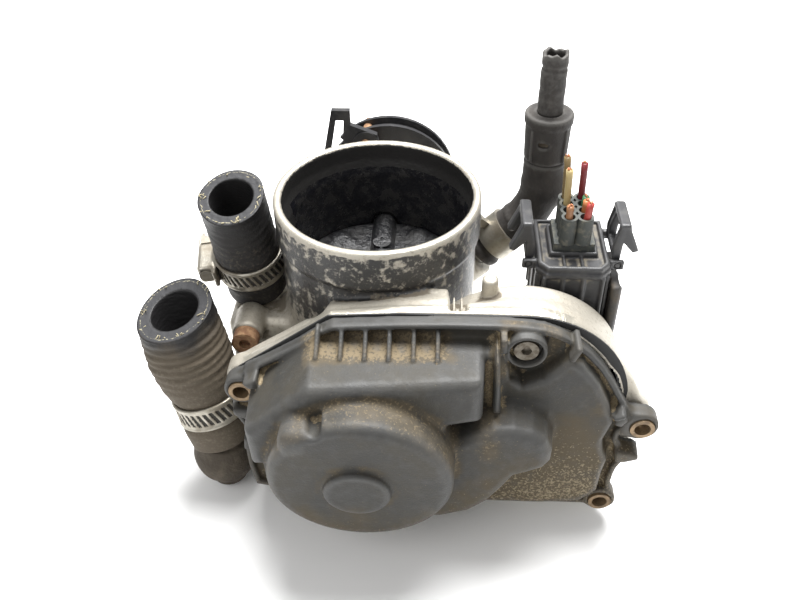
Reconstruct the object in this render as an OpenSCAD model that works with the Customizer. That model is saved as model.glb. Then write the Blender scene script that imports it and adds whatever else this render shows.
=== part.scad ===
// Motor driven throttle body with a cable quadrant, a gear case and coolant hoses.
// Origin: centre of the bore in the manifold flange's face. +Z runs up the bore,
// -Y faces the gear cover and +X is the connector's side. Millimetres.

/* [Bore and body] */
// Radius of the air bore
bore_r = 30; // [29.5:0.5:30.5]
// Outside radius of the collar that the air hose clamps on
collar_r = 34; // [33.5:0.5:34.5]
// Inside radius of the collar at its rim
collar_mouth_r = 31.3; // [31:0.1:31.6]
// Height of the rim above the manifold flange
body_h = 106; // [104:1:110]
// Outside radius of the casting around the bore
barrel_r = 32.8; // [32.6:0.1:33]
// Thickness of the manifold flange
flange_t = 10; // [8:1:12]
// Spacing of the four manifold bolts
bolt_pitch = 62; // [61:0.5:63]
// Radius of the four manifold bolt holes
bolt_hole_r = 3.5; // [3:0.1:3.6]

/* [Gear case] */
// Face of the casting where the cover's gasket lies, along Y
case_face_y = -42.4; // [-42.8:0.1:-42]
// Height of the case's flat top
case_top_z = 91; // [90:0.5:92]
// Wall of the case
case_wall = 3.5; // [3:0.5:4]
// Thickness of the cover's flange
cover_flange_t = 4.8; // [4:0.2:5.2]
// Thickness of the cover's walls
cover_wall = 2.5; // [2:0.1:2.8]

/* [Throttle] */
// Height of the throttle shaft's axis above the manifold flange
shaft_z = 72; // [71:0.5:73]
// Radius of the throttle shaft
shaft_r = 4.5; // [4.3:0.1:4.6]
// Thickness of the throttle plate
plate_t = 1.9; // [1.6:0.1:2]
// Radius of the cable quadrant
quadrant_r = 26; // [25:0.5:27]

/* [Gears] */
// Tooth module of the slow pair
slow_module = 1; // [0.98:0.01:1.02]
// Teeth that a full circle of the sector would have
sector_teeth = 38; // [36:1:40]
// Teeth of the small intermediate gear
small_teeth = 16; // [15:1:17]
// Tooth module of the fast pair
fast_module = 0.8; // [0.79:0.005:0.81]
// Teeth of the large intermediate gear
large_teeth = 55; // [54:1:56]
// Teeth of the motor pinion
pinion_teeth = 12; // [12:1:13]
// Travel of the throttle, in degrees
throttle_travel = 80; // [70:1:80]

/* [Motor] */
// Height of the motor's axis
motor_z = 49; // [48.5:0.5:49.5]
// Radius of the motor's can
motor_r = 19; // [17:0.5:19]

/* [Hoses and pipes] */
// Outside radius of the front coolant hose
front_hose_r = 13.2; // [12.8:0.2:13.4]
// Radius of the pipe that stretches the front coolant hose
front_barb_r = 8.6; // [8.5:0.1:8.8]
// Outside radius of the rear coolant hose
rear_hose_r = 11; // [10.6:0.2:11.2]
// Radius of the pipe that stretches the rear coolant hose
rear_barb_r = 7.7; // [7.6:0.1:7.9]
// Outside radius of the breather hose
breather_r = 7; // [6.8:0.1:7.2]
// Outside radius of the pipe on the breather hose
pipe_r = 4.2; // [4:0.1:4.4]

/* [Connector] */
// Spacing of the wires across the plug
wire_pitch_x = 4.9; // [4.8:0.1:5]
// Spacing of the wires along the plug
wire_pitch_y = 3.7; // [3.6:0.1:3.8]

/* [Hidden] */
$fn = 48;

fit = 0.03;        // radial gap of parts pressed together
run = 0.05;        // radial gap of parts that turn in each other
over = 1;          // how far a cutting tool runs past a face

// ---- places that follow from the driving sizes
shaft_c = [0, shaft_z];                      // throttle axis in the XZ plane
motor_c = [-2, motor_z];                     // motor axis in the XZ plane
sector_pr = slow_module * sector_teeth / 2;
small_pr = slow_module * small_teeth / 2;
large_pr = fast_module * large_teeth / 2;
pinion_pr = fast_module * pinion_teeth / 2;
// the intermediate axle is where both pairs of gears mesh
slow_gap = sector_pr + small_pr;
fast_gap = large_pr + pinion_pr;
span = norm(shaft_c - motor_c);
along = (fast_gap * fast_gap - slow_gap * slow_gap + span * span) / (2 * span);
aside = sqrt(fast_gap * fast_gap - along * along);
up_dir = (shaft_c - motor_c) / span;
axle_c = motor_c + along * up_dir + aside * [up_dir[1], -up_dir[0]];
mesh_slow = atan2(axle_c[1] - shaft_c[1], axle_c[0] - shaft_c[0]);
mesh_fast = atan2(axle_c[1] - motor_c[1], axle_c[0] - motor_c[0]);

collar_z = case_top_z + 1.5;                 // lower end of the collar
cover_back_y = -43;
cover_front_y = cover_back_y - cover_flange_t;
lobe_c = [47, case_top_z - 35];              // round right-hand lobe of the case
lobe_r = 35;
case_floor_y = -37.5;
lobe_back_y = -26;
box_front_y = -66;
face_front_y = -63.5;
plateau_front_y = -51.8;
dome_c = [-2, 49.5];
dome_r = 30;
dome_front_y = -75.5;
disc_r = 10.4;
disc_front_y = -79.5;
top_screw = [47.2, 83.2];
low_screws = [[-30, 19], [22, 14]];
cover_screw_at = concat([top_screw], low_screws);
left_ear = [-41.5, 61.5];
right_ear = [87, 49.2];
low_ear = [78.5, 11];
ear_at = [left_ear, right_ear, low_ear];
bush_r = 3.9;
pocket_r = 4.7;                              // pockets for the screws' heads

// each hose runs from its lower end to its open end
front_hose = [[-55.6, -34, 24.6], [-66.2, -26, 75.5]];
rear_hose = [[-44.8, 3.5, 64], [-47.3, -4.6, 106]];
grip = 24;                                   // length of pipe inside each hose
neck_r = front_hose_r - 1.8;                 // the front hose where its clamp squeezes it
stretch = 0.4;                               // the bore is this much narrower past the pipe
front_clamp_at = 10.5;                       // height of each clamp on its hose, and its turn
front_clamp_turn = 335;
rear_clamp_at = 9;
rear_clamp_turn = 295;
elbow_c = [-56, -34.5, 14.6];
elbow_exit = [-44.9, -18.7, 14.6];
elbow_r = 11;
bolt_c = [-45, 59.8];
bolt_r = 3;
port_r = 7;                                  // outside of the pipes pressed into the casting
block_top_z = 61;
breather_y = 18;
bend_r = 24;
bend_c = [31.5, 100];                        // centre of the breather hose's bend in XZ
bend_start = bend_c + bend_r * [cos(-45), sin(-45)];
nipple_dir = [cos(45), 0, sin(45)];
nipple_foot = [30, breather_y, 64.5];
nipple_r = 4.6;
pipe_foot_r = pipe_r - 0.4;                  // the pipe is thinner where the adaptor grips it
stop_at = [-19, 61];
stop_r = 2.5;
pin_c = [-8.4, 93.3];                        // pin that the cable pulls on
pin_r = 2;
bearing_r = 7;
axle_r = 2.5;
plate_screw_y = 12;                          // the plate's screws on either side of the middle
plate_screw_r = 2;
plug_c = [63.2, -9.1];                       // middle of the plug in XY
socket_floor_z = 68;                         // floor of the socket that takes the plug
wire_cols = [-0.5, 0.5];
wire_rows = [-1.5, -0.5, 0.5, 1.5];
latch_z = 92;                                // height of the latches' hinge pins

function unit(v) = v / norm(v);
function latch_x(side) = 63 + side * 13.9;    // hinge of the latch on that side
function polar(r, a) = [r * cos(a), r * sin(a)];
function arc(c, r, a0, a1, n) = [for (i = [0 : n]) c + polar(r, a0 + (a1 - a0) * i / n)];

// ---- helpers
// Extrudes an XZ outline along Y, from its front face to its back face
module along_y(front, back) {
    translate([0, back, 0]) rotate([90, 0, 0]) linear_extrude(back - front) children();
}
// A round bar along Y about a centre in the XZ plane
module bar_y(c, r, front, back) {
    translate([c[0], back, c[1]]) rotate([90, 0, 0]) cylinder(r = r, h = back - front);
}
// Moves a part that stands on the origin so that it runs from one point towards another
module aim(from, to) {
    d = to - from;
    translate(from) rotate([0, acos(d[2] / norm(d)), atan2(d[1], d[0])]) children();
}
module tube(r, inner, h) {
    difference() {
        cylinder(r = r, h = h);
        translate([0, 0, -over]) cylinder(r = inner, h = h + 2 * over);
    }
}
module tube_y(c, r, inner, front, back) {
    difference() {
        bar_y(c, r, front, back);
        bar_y(c, inner, front - over, back + over);
    }
}
module round_box(lo, hi, r) {
    translate([0, 0, lo[2]]) linear_extrude(hi[2] - lo[2]) hull()
        for (x = [lo[0] + r, hi[0] - r], y = [lo[1] + r, hi[1] - r])
            translate([x, y]) circle(r = r, $fn = 32);
}

// Outline of the case and cover in XZ, moved inwards by in
function case_outline(in = 0) = concat(
    [[-43 + in, 13 + in], [-43 + in, 67 - in * 0.6], [-12.5 + in * 0.4, 89.6 - in],
     [9, case_top_z - in]],
    arc(lobe_c, lobe_r - in, 88, 8, 14),
    [[81.5 - in, 30], [81.5 - in, 8 + in], [-20, 8 + in]]);

// Points of a spur gear: four for each tooth
function tooth(r_low, r_pitch, r_top, n, a) = [
    polar(r_low, a - 90 / n * 1.02), polar(r_pitch, a - 90 / n * 0.86),
    polar(r_top, a - 90 / n * 0.42), polar(r_top, a + 90 / n * 0.42),
    polar(r_pitch, a + 90 / n * 0.86), polar(r_low, a + 90 / n * 1.02)];
module gear_2d(m, n, first, teeth) {
    polygon([for (k = [0 : teeth - 1], p = tooth(m * (n / 2 - 1.2), m * n / 2, m * (n / 2 + 0.85),
        n, first + 360 / n * k)) p]);
}

// ---- the casting
module barrel_solid() {
    rotate_extrude($fn = 96) polygon([[0, 0], [barrel_r, 0], [barrel_r, collar_z - 1],
        [collar_r, collar_z], [collar_r, body_h - 1], [collar_r - 0.8, body_h], [0, body_h]]);
}
module bore_cut() {
    rotate_extrude($fn = 96) polygon([[0, -over], [bore_r, -over], [bore_r, body_h - 12],
        [collar_mouth_r, body_h - 6], [collar_mouth_r, body_h + over], [0, body_h + over]]);
}
module flange_solid() {
    half = bolt_pitch / 2;
    round_box([-half - 7, -half - 7, 0], [half + 7, half + 7, flange_t], 7);
}
module case_solid() {
    along_y(case_face_y, -35) polygon(case_outline());
    bar_y(lobe_c, lobe_r - 0.6, -37, lobe_back_y);
    along_y(-42, -30) polygon([[-16, 60], [-16, 86], [9, case_top_z], [30, case_top_z], [30, 60]]);
    along_y(-42, lobe_back_y) polygon([[30, 8], [30, 60], [72, 60], [80, 40], [80, 8]]);
    for (c = [left_ear, right_ear]) bar_y(c, 6, case_face_y, -36);
}
module coolant_solid() {
    round_box([-53, -15, 40], [-30, 12, block_top_z], 4);
    bar_y(bolt_c, 5, -20.5, -10);
    aim(elbow_exit, elbow_exit + (elbow_exit - elbow_c)) cylinder(r = 9, h = 26);
    along_y(-20, -8) polygon([[-42, 10], [-44, 30], [-44, 44], [-28, 46], [-28, 10]]);
}
module rear_solid() {
    bar_y(shaft_c, 13, 25, 51);
    along_y(38, 50) polygon([[-7, 69], [-26, 56], [-26, 48], [-3, 61]]);
    along_y(49, 66) polygon([[-24, 50], [-24, 57], [-14, 57], [-14, 50]]);
    aim(nipple_foot - 5 * nipple_dir, nipple_foot) cylinder(r = 8.5, h = 11);
}
module throttle_housing() {
    color("gainsboro") difference() {
        union() {
            barrel_solid();
            flange_solid();
            case_solid();
            coolant_solid();
            rear_solid();
        }
        bore_cut();
        // room for the gears, and the deeper chamber of the connector's leads
        along_y(case_face_y - over, case_floor_y) polygon(case_outline(case_wall));
        intersection() {
            bar_y(lobe_c, lobe_r - case_wall - 0.6, -40, -29);
            translate([39, -40, 24]) cube([50, 11, 70]);
        }
        translate([plug_c[0] - 6, -30, 56]) cube([12, 6, 12]);
        // shaft bearings and seals
        bar_y(shaft_c, bearing_r + fit, case_floor_y - over, -30.6);
        bar_y(shaft_c, shaft_r + 0.5, -32, -20);
        bar_y(shaft_c, bearing_r + fit, 30.6, 52);
        bar_y(shaft_c, shaft_r + 0.5, 20, 32);
        bar_y(axle_c, axle_r + fit, case_floor_y - over, -34);
        for (x = [-1, 1], y = [-1, 1]) translate([x, y] * bolt_pitch / 2)
            translate([0, 0, -over]) cylinder(r = bolt_hole_r, h = flange_t + 2 * over);
        for (c = cover_screw_at) bar_y(c, 1.8, case_face_y - over, -33);
        for (c = [left_ear, right_ear]) bar_y(c, 2.5, case_face_y - over, -35);
        // coolant passages
        aim(rear_hose[0] - 9 * unit(rear_hose[1] - rear_hose[0]), rear_hose[0])
            rotate(50) cylinder(r = port_r + fit, h = 14);
        aim(elbow_c, elbow_exit) cylinder(r = port_r + fit, h = 29);
        bar_y(bolt_c, bolt_r + fit, -30, -9);
        aim(nipple_foot - 8 * nipple_dir, nipple_foot) cylinder(r = nipple_r + fit, h = 20);
        translate([stop_at[0], stop_at[1], 40]) cylinder(r = stop_r + fit, h = 30);
    }
}

// ---- the cover
module cover_levels(in, back, lift) {
    // each level of the cover, moved inwards by in and its face moved back by lift
    along_y(plateau_front_y + lift, back) polygon(concat([[-20 + in, 12 + in], [-37 + in, 30]],
        [[-38 + in, 62 - in], [-12 + in, 84 - in], [40, 86 - in]],
        arc(lobe_c, lobe_r - 4.5 - in, 84, 8, 10), [[77 - in, 30], [77 - in, 12 + in]]));
    along_y(box_front_y + lift, back) polygon([[-33 + in, 58], [-33 + in, 66 - in],
        [-18 + in, 84.5 - in], [34 - in, 84.5 - in], [34 - in, 64]]);
    along_y(face_front_y + lift, back) polygon(concat(
        [[-18, 30], [-30 + in, 57], [30, 66 - in], [44, 65.5 - in]],
        arc([49.5, 54.5], 8 - in, 60, -75, 8), [[38, 32 + in], [20, 21 + in]]));
    bar_y(dome_c, dome_r - in, dome_front_y + lift, back);
}
module gear_cover() {
    color("dimgray") difference() {
        union() {
            difference() {
                union() {
                    along_y(cover_front_y, cover_back_y) polygon(case_outline());
                    cover_levels(0, cover_back_y, 0);
                    bar_y(dome_c, disc_r, disc_front_y, dome_front_y + over);
                    for (c = ear_at) bar_y(c, 5.6, cover_front_y - 1, cover_back_y);
                }
                cover_levels(cover_wall, cover_back_y + over, cover_wall);
            }
            bar_y(top_screw, 6.5, plateau_front_y, cover_back_y);
            for (c = low_screws) bar_y(c, 6, cover_front_y, cover_back_y);
            // socket that holds the motor's can
            tube_y(motor_c, motor_r + 2, motor_r + 0.1, dome_front_y + 1, -56);
            bar_y(axle_c, 5, face_front_y + 1, -52);
        }
        for (c = cover_screw_at) bar_y(c, 2.3, -60, cover_back_y + over);
        bar_y(top_screw, pocket_r, -60, -47.2);
        for (c = low_screws) bar_y(c, pocket_r, -80, -47.2);
        for (c = ear_at) bar_y(c, bush_r + fit, -60, cover_back_y + over);
        bar_y(axle_c, axle_r + fit, -58, cover_back_y);
    }
    // gussets between the flange and the box
    color("dimgray") for (i = [0 : 5]) translate([-15.7 + 7.2 * i, 0, 0]) rotate([90, 0, 90])
        linear_extrude(1.2) polygon([[cover_front_y, 84.5], [cover_front_y, 89], [-55, 84.5]]);
}
module cover_gasket() {
    color("black") along_y(case_face_y - 0.6, case_face_y) difference() {
        polygon(case_outline(0.2));
        polygon(case_outline(case_wall - 0.2));
        for (c = cover_screw_at) translate(c) circle(r = 2.4);
    }
}
module cover_screws() {
    color("sienna") for (c = cover_screw_at) difference() {
        union() {
            bar_y(c, 1.78, -47.2, -35);
            bar_y(c, 3.7, -49.8, -47.2);
        }
        along_y(-51, -48.4) translate(c) circle(r = 1.7, $fn = 6);
    }
}
module cover_bushes() {
    color("peru") for (c = ear_at) tube_y(c, bush_r, 2.6, cover_front_y - 1.4, cover_back_y);
}

// ---- motor and gears
module motor_can() {
    color("silver") difference() {
        union() {
            bar_y(motor_c, motor_r, -70, -51.5);
            bar_y(motor_c, 5, -51.5, -50);
        }
        bar_y(motor_c, motor_r - 1.2, -69, -53);
        bar_y(motor_c, 1.5 + run, -72, -48);
    }
}
module motor_shaft() {
    color("silver") union() {
        bar_y(motor_c, 1.5, -69.5, -43.6);
        bar_y(motor_c, 12, -67, -55);
    }
}
module motor_pinion() {
    color("goldenrod") along_y(-49.4, -43.8) translate(motor_c) difference() {
        gear_2d(fast_module, pinion_teeth, mesh_fast, pinion_teeth);
        circle(r = 1.5 + fit);
    }
}
module intermediate_gear() {
    color("ivory") difference() {
        union() {
            along_y(-49, -44.2) translate(axle_c)
                gear_2d(fast_module, large_teeth, mesh_fast + 180 + 180 / large_teeth, large_teeth);
            along_y(-44.2, -38.2) translate(axle_c)
                gear_2d(slow_module, small_teeth, mesh_slow + 180 + 180 / small_teeth, small_teeth);
        }
        bar_y(axle_c, axle_r + run, -60, -30);
        tube_y(axle_c, 18, 10, -50, -47);
    }
}
module intermediate_axle() {
    color("silver") bar_y(axle_c, axle_r, -57.9, -34.2);
}
module sector_gear() {
    teeth = floor(throttle_travel / 360 * sector_teeth) + 1;
    color("ivory") along_y(-42.2, -38.2) translate(shaft_c) difference() {
        union() {
            circle(r = 9);
            polygon(concat([[0, 0]], [for (k = [0 : teeth - 1], p = tooth(sector_pr - 1.2 * slow_module,
                sector_pr, sector_pr + 0.85 * slow_module, sector_teeth,
                mesh_slow + 360 / sector_teeth * k)) p]));
        }
        circle(r = 3 + fit);
    }
}
module throttle_shaft() {
    slot = plate_t + 0.1;
    color("silver") difference() {
        union() {
            bar_y(shaft_c, 3, -51.4, -36);
            bar_y(shaft_c, shaft_r, -37.9, 52);
            bar_y(shaft_c, 3.5, 52, 75);
        }
        translate([-10, -bore_r + 0.1, shaft_z - slot / 2]) cube([20, 2 * bore_r - 0.2, slot]);
        for (y = [-plate_screw_y, plate_screw_y]) {
            translate([0, y, shaft_z - 10]) cylinder(r = plate_screw_r + run, h = 20);
            translate([0, y, shaft_z + 3.2]) cylinder(r = 3.4, h = 5);
        }
    }
}
module throttle_plate() {
    color("darkgray") translate([0, 0, shaft_z - plate_t / 2]) difference() {
        cylinder(r = bore_r - 0.15, h = plate_t, $fn = 96);
        for (y = [-plate_screw_y, plate_screw_y]) translate([0, y, -over])
            cylinder(r = plate_screw_r + run, h = plate_t + 2 * over);
    }
}
module plate_screws() {
    color("silver") for (y = [-plate_screw_y, plate_screw_y]) translate([0, y, shaft_z]) difference() {
        union() {
            translate([0, 0, -6]) cylinder(r = plate_screw_r, h = 9.3);
            translate([0, 0, 3.2]) cylinder(r = 3.2, h = 1.9);
        }
        translate([-0.4, -4, 4.3]) cube([0.8, 8, 2]);
    }
}
module front_bearing() {
    color("silver") tube_y(shaft_c, bearing_r, shaft_r + run, case_floor_y, -32.1);
}
module rear_bearing() {
    color("silver") tube_y(shaft_c, bearing_r, shaft_r + run, 32.6, 41);
}
module shaft_seals() {
    color("black") {
        tube_y(shaft_c, bearing_r, shaft_r + run, -32, -30.8);
        tube_y(shaft_c, bearing_r, shaft_r + run, 31, 32.5);
    }
}
module return_spring() {
    wire = 0.8;
    coil_r = 10.5;
    turns = 3;
    color("gray") {
        for (i = [0 : turns - 1]) translate([0, 52.4 + wire * (2 * i + 1), shaft_z])
            rotate([90, 0, 0]) rotate_extrude($fn = 40) translate([coil_r, 0])
                circle(r = wire - 0.01, $fn = 14);
    }
}
module sensor_wiper() {
    color("black") difference() {
        union() {
            bar_y(shaft_c, 5, -51.4, -50);
            along_y(-51.4, -50) translate(shaft_c) rotate(165) translate([3, -2]) square([6.5, 4]);
        }
        bar_y(shaft_c, 3 + fit, -60, -40);
    }
}
module sensor_board() {
    color("darkgreen") along_y(-54, -52.6) translate(shaft_c)
        polygon(concat([[-20, -0.5]], arc([0, 0], 10, 178, 20, 12), [[20, 3], [20, 0], [6, 0]],
            arc([0, 0], 4.4, 10, 170, 6), [[-6, -0.5]]));
}
module terminal_board() {
    color("darkgreen") along_y(-36.5, -35) polygon([[50, 40], [50, 70], [72, 70], [72, 40]]);
}

// ---- cable quadrant behind the body
module cable_quadrant() {
    color("black") difference() {
        union() {
            along_y(58.5, 67) translate(shaft_c) polygon(concat([[0, 0]],
                arc([0, 0], quadrant_r - 2.5, -33, 138, 24)));
            for (y = [58.5, 65.4]) along_y(y, y + 1.6) translate(shaft_c)
                polygon(concat([[0, 0]], arc([0, 0], quadrant_r, -35, 140, 24)));
            bar_y(shaft_c, 9, 58, 69);
            along_y(58.5, 62) translate(shaft_c) polygon([[-4, -8], [-24, -10], [-24, -6], [-8, 6]]);
        }
        bar_y(shaft_c, 3.5 + fit, 50, 80);
        along_y(60.8, 70) translate(shaft_c) polygon(concat(arc([0, 0], 11, -20, 120, 12),
            arc([0, 0], quadrant_r - 6, 120, -20, 12)));
        bar_y(pin_c, pin_r + fit, 50, 80);
    }
}
module quadrant_nut() {
    color("silver") difference() {
        union() {
            along_y(69.8, 74) translate(shaft_c) circle(r = 6.2, $fn = 6);
            bar_y(shaft_c, 7.5, 69, 69.8);
        }
        bar_y(shaft_c, 3.5 + fit, 60, 80);
    }
}
module cable_pin() {
    color("peru") {
        bar_y(pin_c, pin_r, 52, 70);
        tube_y(pin_c, 4, 2.01, 55.5, 57);
    }
}
module cable_clip() {
    color("black") {
        difference() {
            union() {
                along_y(53, 55.4) polygon([[-25, 88], [-21, 107], [-14, 107], [-14, 101], [-4, 97],
                    [-4, 89], [-12, 89], [-16, 86]]);
                bar_y(pin_c, 5, 52.6, 55.4);
            }
            along_y(50, 60) polygon([[-22, 90], [-19.5, 103], [-16.5, 103], [-17.5, 90]]);
            bar_y(pin_c, pin_r + fit, 40, 60);
        }
    }
}
module stop_screw() {
    color("silver") translate([stop_at[0], stop_at[1], 0]) {
        translate([0, 0, 46]) cylinder(r = stop_r, h = 16.1);
        translate([0, 0, 42.5]) cylinder(r = 4.4, h = 3.5, $fn = 6);
    }
}
module stop_locknut() {
    color("silver") translate([stop_at[0], stop_at[1], 57]) difference() {
        cylinder(r = 4.6, h = 2.6, $fn = 6);
        translate([0, 0, -over]) cylinder(r = stop_r + fit, h = 6);
    }
}

// ---- coolant side
module hose(ends, profile, barb_r) {
    length = norm(ends[1] - ends[0]);
    aim(ends[0], ends[1]) difference() {
        rotate_extrude() polygon(concat([[0, 0]], profile, [[0, length]]));
        translate([0, 0, -over]) cylinder(r = barb_r + run, h = grip + over);
        cylinder(r = barb_r - stretch, h = length + over);
    }
}
module coolant_hose_front() {
    length = norm(front_hose[1] - front_hose[0]);
    color("black") hose(front_hose, [[neck_r, 0], [neck_r, 20], [neck_r + 1.6, 26],
        [front_hose_r + 0.3, 34], [front_hose_r, 44], [front_hose_r, length]], front_barb_r);
}
module coolant_hose_rear() {
    length = norm(rear_hose[1] - rear_hose[0]);
    color("black") hose(rear_hose, [[rear_hose_r, 0], [rear_hose_r, length]], rear_barb_r);
}
module coolant_elbow() {
    axis = unit(front_hose[1] - front_hose[0]);
    color("saddlebrown") difference() {
        union() {
            translate(elbow_c) sphere(r = elbow_r);
            aim(elbow_c, elbow_exit) cylinder(r = 9, h = norm(elbow_exit - elbow_c) - 0.1);
            aim(elbow_c, elbow_exit) cylinder(r = port_r, h = 28);
            aim(front_hose[0] - 4 * axis, front_hose[1]) cylinder(r = front_barb_r, h = grip + 4);
        }
        aim(elbow_c, front_hose[1]) cylinder(r = 6, h = 50);
        aim(elbow_c, elbow_exit) cylinder(r = 5.5, h = 40);
    }
}
module coolant_nipple() {
    axis = unit(rear_hose[1] - rear_hose[0]);
    color("silver") difference() {
        union() {
            aim(rear_hose[0] - 8.8 * axis, rear_hose[0]) cylinder(r = port_r, h = 9);
            aim(rear_hose[0], rear_hose[1]) cylinder(r = rear_barb_r, h = grip);
        }
        aim(rear_hose[0] - 10 * axis, rear_hose[0]) cylinder(r = 5.6, h = 60);
    }
}
// Worm clamp: a band round the hose with a housing for its screw, turned about the hose
module clamp_band(ends, r, at, turn) {
    aim(ends[0], ends[1]) translate([0, 0, at]) difference() {
        union() {
            cylinder(r = r + 0.9, h = 9);
            rotate(turn) translate([r + 0.4, -6.5, 0.5]) cube([6.8, 13, 8]);
        }
        translate([0, 0, -over]) cylinder(r = r + fit, h = 12);
        rotate(turn) translate([r + 4, 10, 4.5]) rotate([90, 0, 0]) cylinder(r = 2.7, h = 20);
    }
}
module clamp_screw(ends, r, at, turn) {
    aim(ends[0], ends[1]) translate([0, 0, at]) rotate(turn) translate([r + 4, 0, 4.5])
        rotate([90, 0, 0]) difference() {
            union() {
                translate([0, 0, -6.4]) cylinder(r = 2.6, h = 13.4);
                translate([0, 0, 6.6]) cylinder(r = 3.9, h = 5, $fn = 6);
            }
            translate([-0.6, -5, 10]) cube([1.2, 10, 3]);
        }
}
module front_clamp_band() {
    color("silver") clamp_band(front_hose, neck_r, front_clamp_at, front_clamp_turn);
}
module front_clamp_screw() {
    color("gray") clamp_screw(front_hose, neck_r, front_clamp_at, front_clamp_turn);
}
module rear_clamp_band() {
    color("silver") clamp_band(rear_hose, rear_hose_r, rear_clamp_at, rear_clamp_turn);
}
module rear_clamp_screw() {
    color("gray") clamp_screw(rear_hose, rear_hose_r, rear_clamp_at, rear_clamp_turn);
}
module coolant_bolt() {
    color("sienna") difference() {
        union() {
            bar_y(bolt_c, bolt_r, -23, -9.5);
            bar_y(bolt_c, 4.5, -25, -20.5);
        }
        bar_y(bolt_c, 2, -27, -22.5);
    }
}

// ---- breather side
module breather_nipple() {
    color("silver") aim(nipple_foot - 1.5 * nipple_dir, nipple_foot) tube(nipple_r, 3.2, 22);
}
// The bend and the two straight ends, which are wider by swell where they grip a pipe
module breather_run(r, swell, past) {
    s = [bend_start[0], breather_y, bend_start[1]];
    aim(s - (18 + past) * nipple_dir, s) cylinder(r = r + swell, h = 19 + past);
    translate([bend_c[0], breather_y, bend_c[1]]) rotate([90, 0, 0]) rotate([0, 0, -45])
        rotate_extrude(angle = 45, $fn = 96) translate([bend_r, 0]) circle(r = r, $fn = 32);
    translate([bend_c[0] + bend_r, breather_y, bend_c[1] - 1]) cylinder(r = r + swell, h = 10 + past);
}
module breather_hose() {
    color("gray") difference() {
        breather_run(breather_r - 0.3, 0.3, 0);
        breather_run(4.3, 0.35, 1);
    }
}
module spring_clamp() {
    s = [bend_start[0], breather_y, bend_start[1]];
    color("silver") {
        aim(s - 13 * nipple_dir, s) tube(breather_r + 1, breather_r + fit, 9);
        for (side = [-1, 1]) aim(s - 13 * nipple_dir, s) rotate(180) rotate(side * 14)
            translate([breather_r + 1, -1, 2 + side]) cube([4, 2, 3]);
    }
}
module hose_adaptor() {
    color("dimgray") translate([bend_c[0] + bend_r, breather_y, bend_c[1] + 9]) difference() {
        union() {
            cylinder(r = 7.7, h = 17);
            translate([0, 0, -7]) cylinder(r = nipple_r, h = 8);
        }
        translate([0, 0, 6]) cylinder(r = pipe_foot_r + fit, h = 20);
        translate([0, 0, -10]) cylinder(r = 3, h = 20);
    }
}
module breather_pipe() {
    color("dimgray") translate([bend_c[0] + bend_r, breather_y, bend_c[1] + 15]) {
        tube(pipe_foot_r, 2.8, 12);
        translate([0, 0, 11.2]) tube(pipe_r, 2.8, 20.8);
    }
}

// ---- connector and plug
module wire_places(z) {
    for (i = wire_cols, j = wire_rows)
        translate([plug_c[0] + i * wire_pitch_x, plug_c[1] + j * wire_pitch_y, z]) children();
}
module connector_socket() {
    color("black") difference() {
        union() {
            translate([51, lobe_back_y + 0.1, 54]) cube([25, 27, socket_floor_z - 54]);
            translate([53.5, -22, 60]) cube([19.4, 23, 26]);
            translate([75.4, -24, 54]) cube([3, 20, 33]);
        }
        translate([55.2, -20.3, socket_floor_z]) cube([16, 19.6, 30]);
        // channels for the leads, one below the other
        for (j = [0 : 3], i = wire_cols) {
            x = plug_c[0] + i * wire_pitch_x;
            y = plug_c[1] + wire_rows[j] * wire_pitch_y;
            translate([x - 0.66, y - 0.66, 65.5 - 2.6 * j]) cube([1.32, 1.32, 12]);
            translate([x - 0.66, lobe_back_y - over, 65.5 - 2.6 * j])
                cube([1.32, y - lobe_back_y + over + 0.66, 1.4]);
        }
    }
}
module connector_pins() {
    color("silver") for (j = [0 : 3], i = wire_cols) {
        x = plug_c[0] + i * wire_pitch_x;
        y = plug_c[1] + wire_rows[j] * wire_pitch_y;
        z = 65.6 - 2.6 * j;
        translate([x - 0.6, y - 0.6, z]) cube([1.2, 1.2, 78 - z]);
        translate([x - 0.6, -34.9, z]) cube([1.2, y + 34.9, 1.2]);
    }
}
module plug_shell() {
    color("black") difference() {
        union() {
            translate([51.8, -24, 69]) cube([22.4, 27, 22]);
            translate([51.8, -24, 91]) cube([22.4, 27, 3.5]);
            // ears that carry the latches
            for (x = [47, 74], y = [-19.2, -2.6]) translate([x, y, 90.4]) cube([5, 1.8, 3.2]);
        }
        for (side = [-1, 1]) bar_y([latch_x(side), latch_z], 1 + run, -19.5, 0);
        translate([53.1, -22.4, 60]) cube([20.2, 23.8, 28]);
        translate([56.6, -16.2, 80]) cube([13.2, 14.2, 20]);
    }
}
module plug_insert() {
    color("black") difference() {
        union() {
            translate([56.8, -16, 70]) cube([12.8, 13.8, 28]);
            wire_places(98) cylinder(r = 2.6, h = 9.5);
        }
        wire_places(60) translate([-0.7, -0.7, 0]) cube([1.4, 1.4, 36]);
        wire_places(97) cylinder(r = 1.75, h = 20);
    }
}
module wire_stubs() {
    // height of each wire's cut end above its seal
    lengths = [[6, 0, 14, 16], [7, 5, 4, 14]];
    colours = [["peru", "gray", "khaki", "olive"], ["red", "orange", "green", "maroon"]];
    for (i = [0, 1], j = [0 : 3]) if (lengths[i][j] > 0)
        color(colours[i][j]) translate([plug_c[0] + wire_cols[i] * wire_pitch_x,
            plug_c[1] + wire_rows[j] * wire_pitch_y, 97.1]) cylinder(r = 1.1, h = 9.5 + lengths[i][j]);
}
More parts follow.
